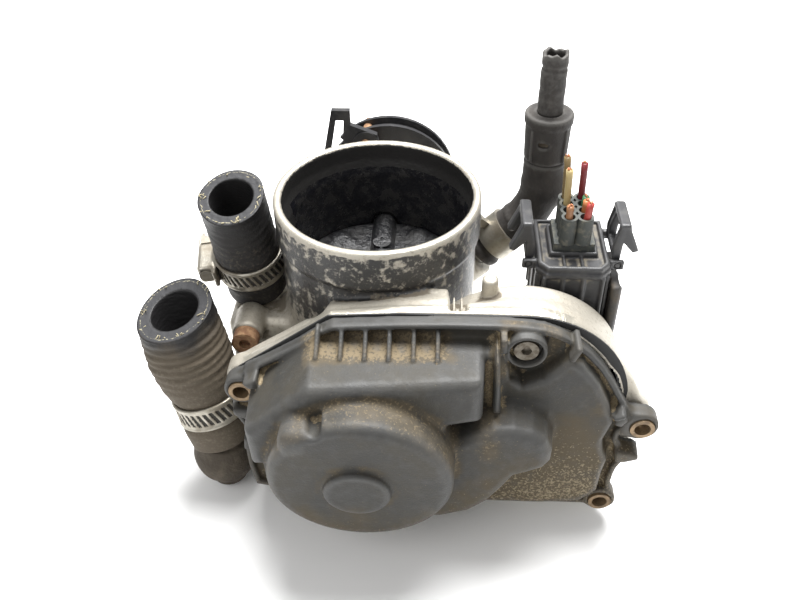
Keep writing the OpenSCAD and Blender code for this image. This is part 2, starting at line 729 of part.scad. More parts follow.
module latch(side) {
    // lever on one side of the plug, hinged on a pin between two ears of the shell
    translate([latch_x(side), 0, latch_z]) mirror([side > 0 ? 0 : 1, 0, 0]) {
        difference() {
            along_y(-17, -3) polygon([[-1.5, 0.9], [1, 0.9], [1.4, 7], [5, 3.5], [6.6, 4.2],
                [2, 14], [0, 14], [-1.5, 6]]);
            translate([-1.6, -13.5, 6.6]) rotate([0, -22, 0]) cube([9, 7, 4]);
        }
        bar_y([0, 0], 1, -19, -1);
        along_y(-17, -3) polygon([[-0.9, 0], [-0.9, 2], [0.9, 2], [0.9, 0]]);
    }
}
module left_latch() { color("black") latch(-1); }
module right_latch() { color("black") latch(1); }

throttle_housing();
gear_cover();
cover_gasket();
cover_screws();
cover_bushes();
motor_can();
motor_shaft();
motor_pinion();
intermediate_gear();
intermediate_axle();
sector_gear();
throttle_shaft();
throttle_plate();
plate_screws();
front_bearing();
rear_bearing();
shaft_seals();
return_spring();
sensor_wiper();
sensor_board();
terminal_board();
cable_quadrant();
quadrant_nut();
cable_pin();
cable_clip();
stop_screw();
stop_locknut();
coolant_elbow();
coolant_nipple();
coolant_hose_front();
coolant_hose_rear();
front_clamp_band();
rear_clamp_band();
front_clamp_screw();
rear_clamp_screw();
coolant_bolt();
breather_nipple();
breather_hose();
spring_clamp();
hose_adaptor();
breather_pipe();
connector_socket();
connector_pins();
plug_shell();
plug_insert();
wire_stubs();
left_latch();
right_latch();
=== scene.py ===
"""Throttle body: cast housing, moulded gear cover, hoses, quadrant and plug around the CAD frame."""
import math

import bpy
import numpy as np
from mathutils import Matrix, Vector


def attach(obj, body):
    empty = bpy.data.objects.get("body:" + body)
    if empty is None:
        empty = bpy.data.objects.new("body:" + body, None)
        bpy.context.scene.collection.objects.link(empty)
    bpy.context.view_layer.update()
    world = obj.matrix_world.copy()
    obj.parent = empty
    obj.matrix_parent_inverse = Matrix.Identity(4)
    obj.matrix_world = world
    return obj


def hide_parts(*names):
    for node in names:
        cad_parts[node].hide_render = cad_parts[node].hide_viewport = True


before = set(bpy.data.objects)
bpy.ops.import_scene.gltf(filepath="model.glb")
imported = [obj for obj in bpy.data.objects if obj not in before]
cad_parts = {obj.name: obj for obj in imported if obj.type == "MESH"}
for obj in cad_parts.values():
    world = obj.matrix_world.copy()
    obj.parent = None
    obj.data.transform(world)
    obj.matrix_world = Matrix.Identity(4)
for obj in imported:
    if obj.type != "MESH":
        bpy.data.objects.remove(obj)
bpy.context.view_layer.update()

MM = 0.001

# places shared by several pieces, in millimetres: (x, z) unless said otherwise
SHAFT = (0, 72)
INTERMEDIATE = (23.185, 58.163)
SCREW = (47.2, 83.2)
LOW_SCREWS = ((-30, 19), (22, 14))
LEFT_EAR, RIGHT_EAR, LOW_EAR = (-41.5, 61.5), (87, 49.2), (78.5, 11)
LOBE = (47, 56)
BOLT = (-45, 59.8)
COVER_BACK, CASE_FACE = -43.0, -42.4                            # y
ELBOW, ELBOW_EXIT = np.array([-56.0, -34.5, 14.6]), np.array([-44.9, -18.7, 14.6])      # x, y, z
PIPE_X, PIPE_Y = 55.5, 18
BEND, BEND_R = (31.5, 100.0), 24
LATCH_X, LATCH_OUT, LATCH_Z = 63, 13.9, 92
SLANT = 0.7071                                                  # the nipple's 45 degrees
WIRE_PITCH = (4.9, 3.7)

# ---- camera, floor and light

CAMERA_AT = (0.02078, -0.23388, 0.2579)                         # metres
CAMERA_TURN = (40.2, -3.4, -0.96)                               # pitch, yaw and roll in degrees
CAMERA_LENS = 38.25                                             # mm, on a 36 mm sensor


def make_camera():
    pitch, yaw, roll = (math.radians(a) for a in CAMERA_TURN)
    forward = Vector((math.sin(yaw) * math.cos(pitch), math.cos(yaw) * math.cos(pitch),
                      -math.sin(pitch)))
    right = Vector((math.cos(yaw), -math.sin(yaw), 0))
    up = right.cross(forward)
    right, up = (math.cos(roll) * right + math.sin(roll) * up,
                 math.cos(roll) * up - math.sin(roll) * right)
    data = bpy.data.cameras.new("camera")
    data.lens, data.sensor_width = CAMERA_LENS, 36
    data.clip_start, data.clip_end = 0.01, 20
    camera = bpy.data.objects.new("camera", data)
    bpy.context.scene.collection.objects.link(camera)
    turn = Matrix((right, up, -forward)).transposed().to_4x4()
    camera.matrix_world = Matrix.Translation(CAMERA_AT) @ turn
    bpy.context.scene.camera = camera


def area_light(name, place, target, size, watts, colour=(1, 1, 1)):
    data = bpy.data.lights.new(name, "AREA")
    data.shape, data.size, data.energy, data.color = "DISK", size, watts, colour
    light = bpy.data.objects.new(name, data)
    light.location = place
    light.rotation_mode = "QUATERNION"
    light.rotation_quaternion = (Vector(target) - Vector(place)).to_track_quat("-Z", "Y")
    bpy.context.scene.collection.objects.link(light)


def make_stage():
    data = bpy.data.meshes.new("floor")
    n, far = 24, 3.0
    ring = [(far * math.cos(2 * math.pi * i / n), far * math.sin(2 * math.pi * i / n), 0)
            for i in range(n)]
    data.from_pydata(ring, [], [list(range(n))])
    floor = bpy.data.objects.new("floor", data)
    bpy.context.scene.collection.objects.link(floor)
    paper = bpy.data.materials.new("paper")
    paper.use_nodes = True
    shader = paper.node_tree.nodes["Principled BSDF"]
    shader.inputs["Base Color"].default_value = (0.92, 0.92, 0.915, 1)
    shader.inputs["Roughness"].default_value = 0.6
    data.materials.append(paper)
    world = bpy.data.worlds.new("studio")
    bpy.context.scene.world = world
    world.use_nodes = True
    world.node_tree.nodes["Background"].inputs["Color"].default_value = (1, 1, 1, 1)
    world.node_tree.nodes["Background"].inputs["Strength"].default_value = 0.5
    area_light("key", (0.08, 0.22, 0.80), (0, 0, 0.05), 0.55, 21)
    area_light("fill", (-0.35, -0.45, 0.55), (0, 0, 0.05), 0.5, 1.6)
    bpy.context.scene.view_settings.view_transform = "Standard"


# ---- materials


class Paint:
    """A Principled material put together from a base colour and layers laid over it by masks."""

    def __init__(self, name, base, rough, metal=0.0, specular=0.5):
        self.material = bpy.data.materials.new(name)
        self.material.use_nodes = True
        self.tree = self.material.node_tree
        self.shader = self.tree.nodes["Principled BSDF"]
        self.shader.inputs["Specular IOR Level"].default_value = specular
        self.shader.inputs["Metallic"].default_value = metal
        self.colour, self.rough = self.rgb(base), self.value(rough)
        self.metal = None if metal in (0.0, 1.0) else self.value(metal)
        self.metal_base = metal
        self.coords = self.tree.nodes.new("ShaderNodeTexCoord").outputs["Object"]
        self.height = None

    def rgb(self, c):
        node = self.tree.nodes.new("ShaderNodeRGB")
        node.outputs[0].default_value = (*c, 1)
        return node.outputs[0]

    def value(self, v):
        node = self.tree.nodes.new("ShaderNodeValue")
        node.outputs[0].default_value = v
        return node.outputs[0]

    def math(self, kind, a, b):
        node = self.tree.nodes.new("ShaderNodeMath")
        node.operation = kind
        for socket, x in zip(node.inputs, (a, b)):
            if isinstance(x, (int, float)):
                socket.default_value = x
            else:
                self.tree.links.new(x, socket)
        return node.outputs[0]

    def noise(self, scale, detail=4.0, stretch=(1, 1, 1), rough=0.6):
        """Noise from 0 to 1; scale is in waves per metre."""
        mapping = self.tree.nodes.new("ShaderNodeMapping")
        mapping.inputs["Scale"].default_value = stretch
        self.tree.links.new(self.coords, mapping.inputs["Vector"])
        node = self.tree.nodes.new("ShaderNodeTexNoise")
        node.inputs["Scale"].default_value = scale
        node.inputs["Detail"].default_value = detail
        node.inputs["Roughness"].default_value = rough
        self.tree.links.new(mapping.outputs[0], node.inputs["Vector"])
        return node.outputs["Fac"]

    def attribute(self, name):
        node = self.tree.nodes.new("ShaderNodeAttribute")
        node.attribute_name = name
        return node.outputs["Fac"]

    def ramp(self, x, low, high, to_low=0.0, to_high=1.0):
        node = self.tree.nodes.new("ShaderNodeMapRange")
        node.interpolation_type = "SMOOTHSTEP"
        for key, v in (("From Min", low), ("From Max", high), ("To Min", to_low), ("To Max", to_high)):
            node.inputs[key].default_value = v
        self.tree.links.new(x, node.inputs["Value"])
        return node.outputs[0]

    def mask(self, attribute, scale, amount, low, high, strength=1.0, stretch=(1, 1, 1), detail=6.0):
        """Where the attribute plus amount of noise passes from low to high."""
        x = self.math("MULTIPLY", self.math("SUBTRACT", self.noise(scale, detail, stretch), 0.5), amount)
        if attribute:
            x = self.math("ADD", x, self.attribute(attribute))
        else:
            x = self.math("ADD", x, 0.5)
        return self.ramp(x, low, high, 0.0, strength)

    def layer(self, mask, colour=None, rough=None, metal=None):
        if colour is not None:
            node = self.tree.nodes.new("ShaderNodeMix")
            node.data_type = "RGBA"
            self.tree.links.new(mask, node.inputs["Factor"])
            self.tree.links.new(self.colour, node.inputs["A"])
            node.inputs["B"].default_value = (*colour, 1)
            self.colour = node.outputs["Result"]
        for key, v in (("rough", rough), ("metal", metal)):
            if v is not None:
                old = getattr(self, key)
                if old is None:
                    old = self.value(self.metal_base)
                node = self.tree.nodes.new("ShaderNodeMix")
                node.data_type = "FLOAT"
                self.tree.links.new(mask, node.inputs["Factor"])
                self.tree.links.new(old, node.inputs["A"])
                node.inputs["B"].default_value = v
                setattr(self, key, node.outputs["Result"])
        return self

    def bump(self, height, distance):
        """Adds a relief: the height, from 0 to 1, times distance in millimetres."""
        scaled = self.math("MULTIPLY", height, distance)
        self.height = scaled if self.height is None else self.math("ADD", self.height, scaled)
        return self

    def done(self):
        link = self.tree.links.new
        link(self.colour, self.shader.inputs["Base Color"])
        link(self.rough, self.shader.inputs["Roughness"])
        if self.metal is not None:
            link(self.metal, self.shader.inputs["Metallic"])
        if self.height is not None:
            node = self.tree.nodes.new("ShaderNodeBump")
            node.inputs["Distance"].default_value = MM
            link(self.height, node.inputs["Height"])
            link(node.outputs[0], self.shader.inputs["Normal"])
        return self.material


def coat(name, base, rough, layers, relief, metal=0.0, specular=0.5):
    """A material of layers (mask, colour, roughness, metal) and reliefs (noise, depth in mm)."""
    p = Paint(name, base, rough, metal, specular)
    for mask, *look in layers:
        p.layer(p.mask(*mask), *look)
    for noise, depth in relief:
        p.bump(p.noise(*noise), depth)
    return p.done()


def make_materials():
    made = {}
    dust, pale_dust, soot = (0.185, 0.145, 0.090), (0.33, 0.27, 0.175), (0.008, 0.008, 0.010)

    # moulded cover: dark grey plastic with tan dust in its hollows, and a painted highlight on its proud
    # edges
    made["cover"] = coat("cover_plastic", (0.038, 0.037, 0.034), 0.5, (
        ((None, 60, 1.4, 0.35, 0.7, 0.7), (0.052, 0.047, 0.037), 0.6),
        (("low", 55, 1.3, 0.25, 0.85, 0.75), (0.088, 0.068, 0.040), 0.8),
        (("film", 150, 1.3, 0.30, 0.75, 0.65), (0.098, 0.077, 0.048), 0.85),
        (("cavity", 420, 0.8, 0.51, 0.62, 0.85), dust, 0.9),
        (("cavity", 1500, 1.6, 0.60, 0.86, 0.75), pale_dust, 0.95),
        (("film", 1100, 2.4, 0.68, 0.98, 0.7), dust, 0.9),
        ((None, 1700, 3.0, 0.86, 1.12, 0.45), dust, 0.9),
        (("low", 1300, 3.2, 0.98, 1.25, 0.6), pale_dust, 0.95),
        (("low", 480, 2.6, 1.10, 1.30, 0.5), (0.155, 0.125, 0.085), 0.9),
        # painted highlight: lighter grey on the proud edges, which are also glossier
        (("edge", 300, 0.5, 0.55, 0.85, 0.4), (0.085, 0.086, 0.086), 0.32)),
        (((1300, 3), 0.10), ((5000, 2), 0.035)), specular=0.22)

    # housing: cast aluminium, sooty in and around the collar, machined on its rims
    made["cast"] = coat("cast_aluminium", (0.45, 0.42, 0.36), 0.45, (
        ((None, 70, 1.0, 0.35, 0.8, 0.6), (0.32, 0.285, 0.225), 0.55, 0.35),
        ((None, 900, 1.5, 0.5, 0.85, 0.65), (0.21, 0.18, 0.135), 0.65, 0.2),
        (("cavity", 300, 0.6, 0.53, 0.72, 0.85), (0.085, 0.066, 0.042), 0.85, 0.0),
        (("grime", 120, 0.8, 0.35, 0.85, 0.9), (0.12, 0.10, 0.075), 0.75, 0.1),
        (("soot", 330, 1.5, 0.34, 0.56, 0.97), (0.012, 0.012, 0.013), 0.34, 0.0),
        (("fleck", 1100, 2.6, 0.72, 1.0, 0.7), (0.26, 0.24, 0.20), 0.5, 0.3),
        (("wet", 240, 0.7, 0.45, 0.6, 1.0), soot, 0.16, 0.0),
        (("bright", 950, 1.1, 0.42, 0.66, 0.9), (0.50, 0.47, 0.40), 0.32, 0.7)),
        (((520, 5), 0.22), ((2400, 3), 0.10)), metal=0.55)

    # hoses: black rubber with a film of dust, wiped darker near the cut ends
    for name, film, spread in (("hose_dusty", (0.092, 0.074, 0.052), 0.9),
                               ("hose_dark", (0.030, 0.028, 0.027), 0.7)):
        made[name] = coat(name, (0.013, 0.0125, 0.013), 0.5, (
            (("dusty", 95, 0.9, 0.3, 0.8, spread, (1, 1, 0.45)), film, 0.85),
            (("dusty", 900, 1.6, 0.95, 1.4, 0.45), (0.17, 0.145, 0.11), 0.9),
            (("face", 700, 0.3, 0.4, 0.6, 1.0), (0.034, 0.034, 0.036), 0.75),
            (("braid", 1100, 1.6, 0.85, 1.15, 0.8), (0.34, 0.31, 0.22), 0.9)),
            (((1500, 3), 0.12), ((260, 2, (1, 1, 3)), 0.25)), specular=0.35)
    made["thread"] = coat("braid_thread", (0.36, 0.32, 0.21), 0.85, (
        ((None, 700, 1.6, 0.3, 0.8, 0.7), (0.28, 0.24, 0.15), 0.9),), ())

    # band clamps: stainless steel, with painted shade in the slots and other hollows
    made["steel"] = coat("clamp_steel", (0.40, 0.375, 0.32), 0.34, (
        ((None, 160, 1.2, 0.35, 0.75, 0.8), (0.16, 0.132, 0.092), 0.6, 0.3),
        # painted shade: near-black in the hollows
        (("cavity", 500, 0.3, 0.54, 0.66, 0.9), (0.030, 0.025, 0.020), 0.8, 0.0),
        # painted shade: near-black in the slots
        (("slot", 900, 0.5, 0.35, 0.7, 0.95), (0.020, 0.017, 0.014), 0.8, 0.0)),
        (((1800, 3), 0.06),), metal=0.85)
    made["bright"] = coat("bright_steel", (0.62, 0.61, 0.58), 0.3, (
        ((None, 200, 1.2, 0.5, 0.9, 0.6), (0.30, 0.27, 0.22), 0.55, 0.4),),
        (((1600, 3), 0.05),), metal=0.9)
    made["rust"] = coat("rust", (0.190, 0.095, 0.048), 0.85, (
        ((None, 420, 1.4, 0.35, 0.75, 0.9), (0.33, 0.20, 0.105), 0.9),
        ((None, 1300, 1.6, 0.6, 0.95, 0.8), (0.055, 0.035, 0.028), 0.8)), (((1100, 5), 0.35),))
    made["brass"] = coat("dull_brass", (0.25, 0.175, 0.10), 0.5, (
        ((None, 380, 1.4, 0.35, 0.75, 0.85), (0.12, 0.083, 0.050), 0.75, 0.2),),
        (((1300, 4), 0.15),), metal=0.55)
    made["screw"] = coat("screw_steel", (0.15, 0.132, 0.105), 0.5, (
        ((None, 650, 1.5, 0.35, 0.7, 0.85), (0.085, 0.066, 0.043), 0.8, 0.1),),
        (((1500, 4), 0.12),), metal=0.5)
    made["elbow"] = coat("elbow_cast", (0.050, 0.040, 0.029), 0.8, (
        ((None, 170, 1.3, 0.4, 0.8, 0.8), (0.10, 0.083, 0.062), 0.85),
        (("cavity", 300, 0.4, 0.55, 0.8, 0.8), (0.035, 0.028, 0.022), 0.9)),
        (((700, 5), 0.4),), specular=0.3)

    # black moulded parts of the plug, and the grey rubber of the breather, both with a painted highlight
    # on their proud edges
    made["plug"] = coat("plug_plastic", (0.022, 0.022, 0.024), 0.42, (
        ((None, 220, 1.3, 0.45, 0.85, 0.45), (0.085, 0.08, 0.07), 0.75),
        (("cavity", 420, 0.5, 0.56, 0.85, 0.8), (0.20, 0.175, 0.13), 0.9),
        # painted highlight: lighter grey on the plug's proud edges
        (("edge", 500, 0.6, 0.6, 0.95, 0.3), (0.10, 0.10, 0.10), 0.4)), (((2200, 3), 0.05),))
    made["seals"] = coat("seal_tubes", (0.045, 0.050, 0.046), 0.6, (
        ((None, 500, 1.5, 0.45, 0.8, 0.7), (0.16, 0.15, 0.115), 0.85),), (((1900, 3), 0.08),))
    made["socket"] = coat("socket_plastic", (0.035, 0.033, 0.032), 0.55, (
        ((None, 160, 1.3, 0.35, 0.8, 0.8), (0.11, 0.088, 0.062), 0.85),
        (("cavity", 350, 0.5, 0.55, 0.85, 0.8), (0.19, 0.155, 0.11), 0.9)), (((1700, 4), 0.10),))
    made["breather"] = coat("breather_rubber", (0.034, 0.031, 0.029), 0.6, (
        ((None, 130, 1.3, 0.35, 0.8, 0.8, (1, 1, 0.5)), (0.062, 0.056, 0.050), 0.8),
        (("cavity", 400, 0.5, 0.56, 0.85, 0.8), (0.16, 0.135, 0.10), 0.9),
        # painted highlight: lighter grey on the breather's proud edges
        (("edge", 500, 0.7, 0.62, 0.95, 0.35), (0.15, 0.145, 0.135), 0.6)),
        (((1500, 3), 0.12), ((300, 3), 0.2)), specular=0.25)

    # the oily throttle plate and shaft, the quadrant, and what is inside
    made["soot"] = coat("oily_soot", (0.010, 0.010, 0.011), 0.3, (
        ((None, 180, 1.4, 0.4, 0.8, 0.9), (0.022, 0.021, 0.020), 0.62),
        ((None, 1500, 2.2, 1.0, 1.3, 0.8), (0.16, 0.15, 0.13), 0.6)),
        (((420, 5), 0.9), ((1600, 3), 0.25)))
    made["quadrant"] = coat("quadrant_plastic", (0.016, 0.016, 0.018), 0.38, (
        ((None, 150, 1.2, 0.45, 0.85, 0.5), (0.06, 0.056, 0.05), 0.7),), (((1900, 3), 0.06),))
    made["nylon"] = coat("gear_nylon", (0.55, 0.52, 0.43), 0.45, (
        ((None, 300, 1.3, 0.5, 0.9, 0.4), (0.38, 0.33, 0.24), 0.5),), (((2000, 2), 0.03),))
    made["board"] = coat("circuit_board", (0.015, 0.085, 0.035), 0.4, (
        ((None, 900, 2.0, 0.75, 0.85, 0.8), (0.42, 0.30, 0.12), 0.35),), ())
    made["gasket"] = coat("gasket_rubber", (0.018, 0.018, 0.018), 0.7, (), (((1500, 3), 0.06),))
    made["copper"] = coat("copper", (0.62, 0.30, 0.17), 0.35, (
        ((None, 1500, 1.4, 0.5, 0.9, 0.6), (0.30, 0.15, 0.09), 0.5, 0.6),), (), metal=0.9)
    for name, colour in (("peru", (0.27, 0.125, 0.055)), ("khaki", (0.40, 0.31, 0.14)),
                         ("olive", (0.17, 0.12, 0.05)), ("red", (0.36, 0.045, 0.035)),
                         ("orange", (0.40, 0.15, 0.05)), ("green", (0.05, 0.16, 0.07)),
                         ("maroon", (0.17, 0.015, 0.02))):
        made["wire_" + name] = coat("wire_" + name, colour, 0.45, (
            ((None, 700, 1.5, 0.5, 0.9, 0.4), tuple(0.5 * c + 0.06 for c in colour), 0.7),),
            (((2500, 2), 0.04),))
    return made


# ---- solids from distance fields


def blur(a, radius):
    """Box blur of a 3-D array along all three axes, with edges repeated."""
    for axis in range(3):
        pad = [(0, 0)] * 3
        pad[axis] = (radius + 1, radius)
        total = np.cumsum(np.pad(a, pad, mode="edge"), axis=axis, dtype=np.float64)
        n = a.shape[axis]
        hi = np.take(total, np.arange(2 * radius + 1, 2 * radius + 1 + n), axis=axis)
        lo = np.take(total, np.arange(0, n), axis=axis)
        a = ((hi - lo) / (2 * radius + 1)).astype(np.float32)
    return a


def join(a, b, r=0.0):
    """Union of two fields, with a fillet of radius r."""
    if r <= 0:
        return np.minimum(a, b)
    u, v = np.maximum(r - a, 0), np.maximum(r - b, 0)
    return np.maximum(r, np.minimum(a, b)) - np.sqrt(u * u + v * v)


def meet(a, b, r=0.0):
    """Intersection of two fields, with its edge rounded to radius r."""
    return -join(-a, -b, r)


def cut(a, b, r=0.0):
    return meet(a, -b, r)


def outline(points, a, b):
    """Signed distance in the plane of a and b to a closed polygon, negative inside."""
    pts = np.asarray(points, np.float32)
    best = np.full(np.broadcast(a, b).shape, 1e9, np.float32)
    inside = np.zeros(best.shape, bool)
    for p, q in zip(pts, np.roll(pts, -1, axis=0)):
        ex, ey = q - p
        wx, wy = a - p[0], b - p[1]
        t = np.clip((wx * ex + wy * ey) / (ex * ex + ey * ey), 0, 1)
        best = np.minimum(best, (wx - ex * t) ** 2 + (wy - ey * t) ** 2)
        if ey != 0:
            over = (p[1] > b) != (q[1] > b)
            inside ^= over & (a < (q[0] - p[0]) * (b - p[1]) / ey + p[0])
    return np.where(inside, -1, 1) * np.sqrt(best)


class Field:
    """A box of sample points, and solids as signed distances in it."""

    def __init__(self, lo, hi, step):
        self.lo, self.step = np.asarray(lo, np.float32), step
        axes = [np.arange(l, h + step, step, dtype=np.float32) for l, h in zip(lo, hi)]
        self.x, self.y, self.z = axes[0][:, None, None], axes[1][None, :, None], axes[2][None, None, :]

    def slab_y(self, flat, front, back, r=0.0, draft=0.0):
        """An XZ shape pulled along Y. draft is how far its walls lean in for each millimetre."""
        if draft:
            flat = flat + draft * (back - self.y)
        return meet(flat, np.maximum(front - self.y, self.y - back) + 0 * flat, r)

    def slab_z(self, flat, low, high, r=0.0):
        return meet(flat, np.maximum(low - self.z, self.z - high) + 0 * flat, r)

    def prism_y(self, points, front, back, r=0.5, draft=0.0, grow=0.0):
        return self.slab_y(outline(points, self.x, self.z) - grow, front, back, r, draft)

    def prism_z(self, points, low, high, r=0.5):
        return self.slab_z(outline(points, self.x, self.y), low, high, r)

    def disc_y(self, c, radius, front, back, r=0.5, draft=0.0):
        away = np.sqrt((self.x - c[0]) ** 2 + (self.z - c[1]) ** 2) - radius
        return self.slab_y(away, front, back, r, draft)

    def about_z(self, c=(0, 0)):
        """How far each point is from the upright line through c."""
        return np.sqrt((self.x - c[0]) ** 2 + (self.y - c[1]) ** 2) + 0 * self.z

    def rod(self, a, b, radius, r=0.5):
        """A round bar from a to b with flat ends."""
        a, b = np.asarray(a, float), np.asarray(b, float)
        length = np.linalg.norm(b - a)
        n = (b - a) / length
        px, py, pz = self.x - a[0], self.y - a[1], self.z - a[2]
        t = px * n[0] + py * n[1] + pz * n[2]
        away = np.sqrt(np.maximum(px * px + py * py + pz * pz - t * t, 0)) - radius
        return meet(away, np.maximum(-t, t - length), r)

    def ball(self, c, radius):
        return np.sqrt((self.x - c[0]) ** 2 + (self.y - c[1]) ** 2 + (self.z - c[2]) ** 2) - radius

    def box(self, lo, hi, r=0.5):
        c, h = (np.add(lo, hi)) / 2, (np.subtract(hi, lo)) / 2 - r
        q = [np.abs(axis - c[i]) - h[i] for i, axis in enumerate((self.x, self.y, self.z))]
        outer = np.sqrt(sum(np.maximum(v, 0) ** 2 for v in q))
        return outer + np.minimum(np.maximum(np.maximum(q[0], q[1]), q[2]), 0) - r

    def mesh(self, name, d, body, nodes, materials, paint=None, place=None):
        """The surface of d as a mesh: one vertex in each cell that it crosses."""
        d = np.ascontiguousarray(d, np.float32)
        inside = d < 0
        shape = np.array(d.shape) - 1
        corner = [(i, j, k) for i in (0, 1) for j in (0, 1) for k in (0, 1)]
        pick = lambda a, c: a[c[0]:c[0] + shape[0], c[1]:c[1] + shape[1], c[2]:c[2] + shape[2]]
        count = sum(pick(inside, c).astype(np.int8) for c in corner)
        cells = np.argwhere((count > 0) & (count < 8))
        index = np.full(shape, -1, np.int32)
        index[tuple(cells.T)] = np.arange(len(cells))
        total, hits = np.zeros((len(cells), 3), np.float32), np.zeros(len(cells), np.float32)
        for axis in range(3):
            for c in corner:
                if c[axis]:
                    continue
                p = cells + c
                q = p.copy()
                q[:, axis] += 1
                a, b = d[tuple(p.T)], d[tuple(q.T)]
                cross = (a < 0) != (b < 0)
                t = np.where(cross, a / np.where(cross, a - b, 1), 0)
                at = np.tile(np.asarray(c, np.float32), (len(cells), 1))
                at[:, axis] = t
                total += at * cross[:, None]
                hits += cross
        local = total / hits[:, None]
        for _ in range(2):  # pull each vertex on to the surface
            value = np.zeros(len(cells), np.float32)
            slope = np.zeros((len(cells), 3), np.float32)
            for c in corner:
                w = [local[:, i] if c[i] else 1 - local[:, i] for i in range(3)]
                f = d[tuple((cells + c).T)]
                value += w[0] * w[1] * w[2] * f
                for i in range(3):
                    slope[:, i] += (1 if c[i] else -1) * w[(i + 1) % 3] * w[(i + 2) % 3] * f
            move = slope * (value / np.maximum((slope ** 2).sum(1), 1e-6))[:, None]
            local = np.clip(local - np.clip(move, -0.5, 0.5), 0.02, 0.98)
        verts = (cells + local) * self.step + self.lo
        quads = []
        for axis in range(3):
            j, k = (axis + 1) % 3, (axis + 2) % 3
            n = np.array(d.shape)
            n[axis] -= 1
            edge = np.argwhere(np.take(inside, range(n[axis]), axis)
                               != np.take(inside, range(1, n[axis] + 1), axis))
            edge = edge[(edge[:, j] > 0) & (edge[:, k] > 0)
                        & (edge[:, j] < shape[j]) & (edge[:, k] < shape[k])]
            ring = []
            for dj, dk in ((-1, -1), (0, -1), (0, 0), (-1, 0)):
                e = edge.copy()
                e[:, j] += dj
                e[:, k] += dk
                ring.append(index[tuple(e.T)])
            ring = np.stack(ring, 1)
            flip = ~inside[tuple(edge.T)]
            ring[flip] = ring[flip][:, ::-1]
            quads.append(ring)
        quads = np.concatenate(quads)
        place = np.eye(4) if place is None else np.asarray(place)
        placed = verts @ place[:3, :3].T + place[:3, 3]
        piece = mesh_piece(name, placed, quads, body, nodes, materials)
        # how hollow (above 0.5) or proud (below) the surface is, at two scales; edge masks a painted
        # highlight on proud edges, and cavity also masks the painted shade in the clamps' hollows
        solid = np.clip(0.5 - d / self.step, 0, 1)
        fine = sample(blur(blur(solid, 2), 2), cells, local)
        wide = sample(blur(blur(solid, 6), 6), cells, local)
        fields = {"cavity": np.clip(0.5 + 2.6 * (fine - 0.5) + 1.6 * (wide - 0.5), 0, 1),
                  "edge": np.clip(0.5 - 3.0 * (fine - 0.5), 0, 1)}
        fields.update(paint(verts) if paint else {})
        for key, v in fields.items():
            set_attribute(piece, key, v)
        return piece


def sample(a, cells, local):
    out = np.zeros(len(cells), np.float32)
    for c in [(i, j, k) for i in (0, 1) for j in (0, 1) for k in (0, 1)]:
        w = np.prod([local[:, i] if c[i] else 1 - local[:, i] for i in range(3)], axis=0)
        out += w * a[tuple((cells + c).T)]
    return out


def set_attribute(piece, name, values):
    data = piece.data.attributes.new(name, "FLOAT", "POINT")
    data.data.foreach_set("value", np.ascontiguousarray(values, np.float32))


def mesh_piece(name, verts, faces, body, nodes, materials, slots=None, smooth=True):
    """A piece in millimetres from vertices and equal-sided faces, on a body, in place of CAD nodes."""
    faces = np.asarray(faces, np.int32)
    data = bpy.data.meshes.new(name)
    data.vertices.add(len(verts))
    data.vertices.foreach_set("co", (np.asarray(verts, np.float64) * MM).astype(np.float32).ravel())
    data.loops.add(faces.size)
    data.loops.foreach_set("vertex_index", faces.ravel())
    data.polygons.add(len(faces))
    data.polygons.foreach_set("loop_start", np.arange(len(faces), dtype=np.int32) * faces.shape[1])
    data.polygons.foreach_set("use_smooth", np.full(len(faces), smooth))
    for m in materials if isinstance(materials, (list, tuple)) else [materials]:
        data.materials.append(m)
    if slots is not None:
        data.polygons.foreach_set("material_index", np.asarray(slots, np.int32))
    data.update(calc_edges=True)
    data.validate()
    piece = bpy.data.objects.new(name, data)
    bpy.context.scene.collection.objects.link(piece)
    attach(piece, body)
    if nodes:
        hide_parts(*nodes)
    return piece


# ---- gear cover

COVER_OUTLINE = [
    (-42.9, 66.3), (-38.5, 70), (-29.9, 75.6), (-21.5, 81.3), (-13.8, 87.4), (-11, 89), (9.4, 90.4),
    (24.3, 90.9), (39.1, 90.9), (47, 90.5), (52.5, 89.6), (57.2, 87.7), (62, 84.8), (67, 80.4),
    (71.7, 74.6), (75.4, 68.6), (78.8, 62), (81.6, 57), (83.5, 53), (82.5, 49), (80.6, 45.5),
    (80.3, 41.8), (82.3, 38.6), (87.2, 36.2), (87.4, 34.2), (84.2, 32.8), (81.9, 27.2), (81.2, 20.5),
    (82.2, 13.5), (83.3, 9.2), (79.4, 7.9), (60, 8), (20, 8), (-20, 8.2), (-42.5, 13), (-44, 23.8),
    (-44, 32.9), (-42, 42.3), (-43.9, 46), (-45.8, 50.5), (-45, 57.4)]


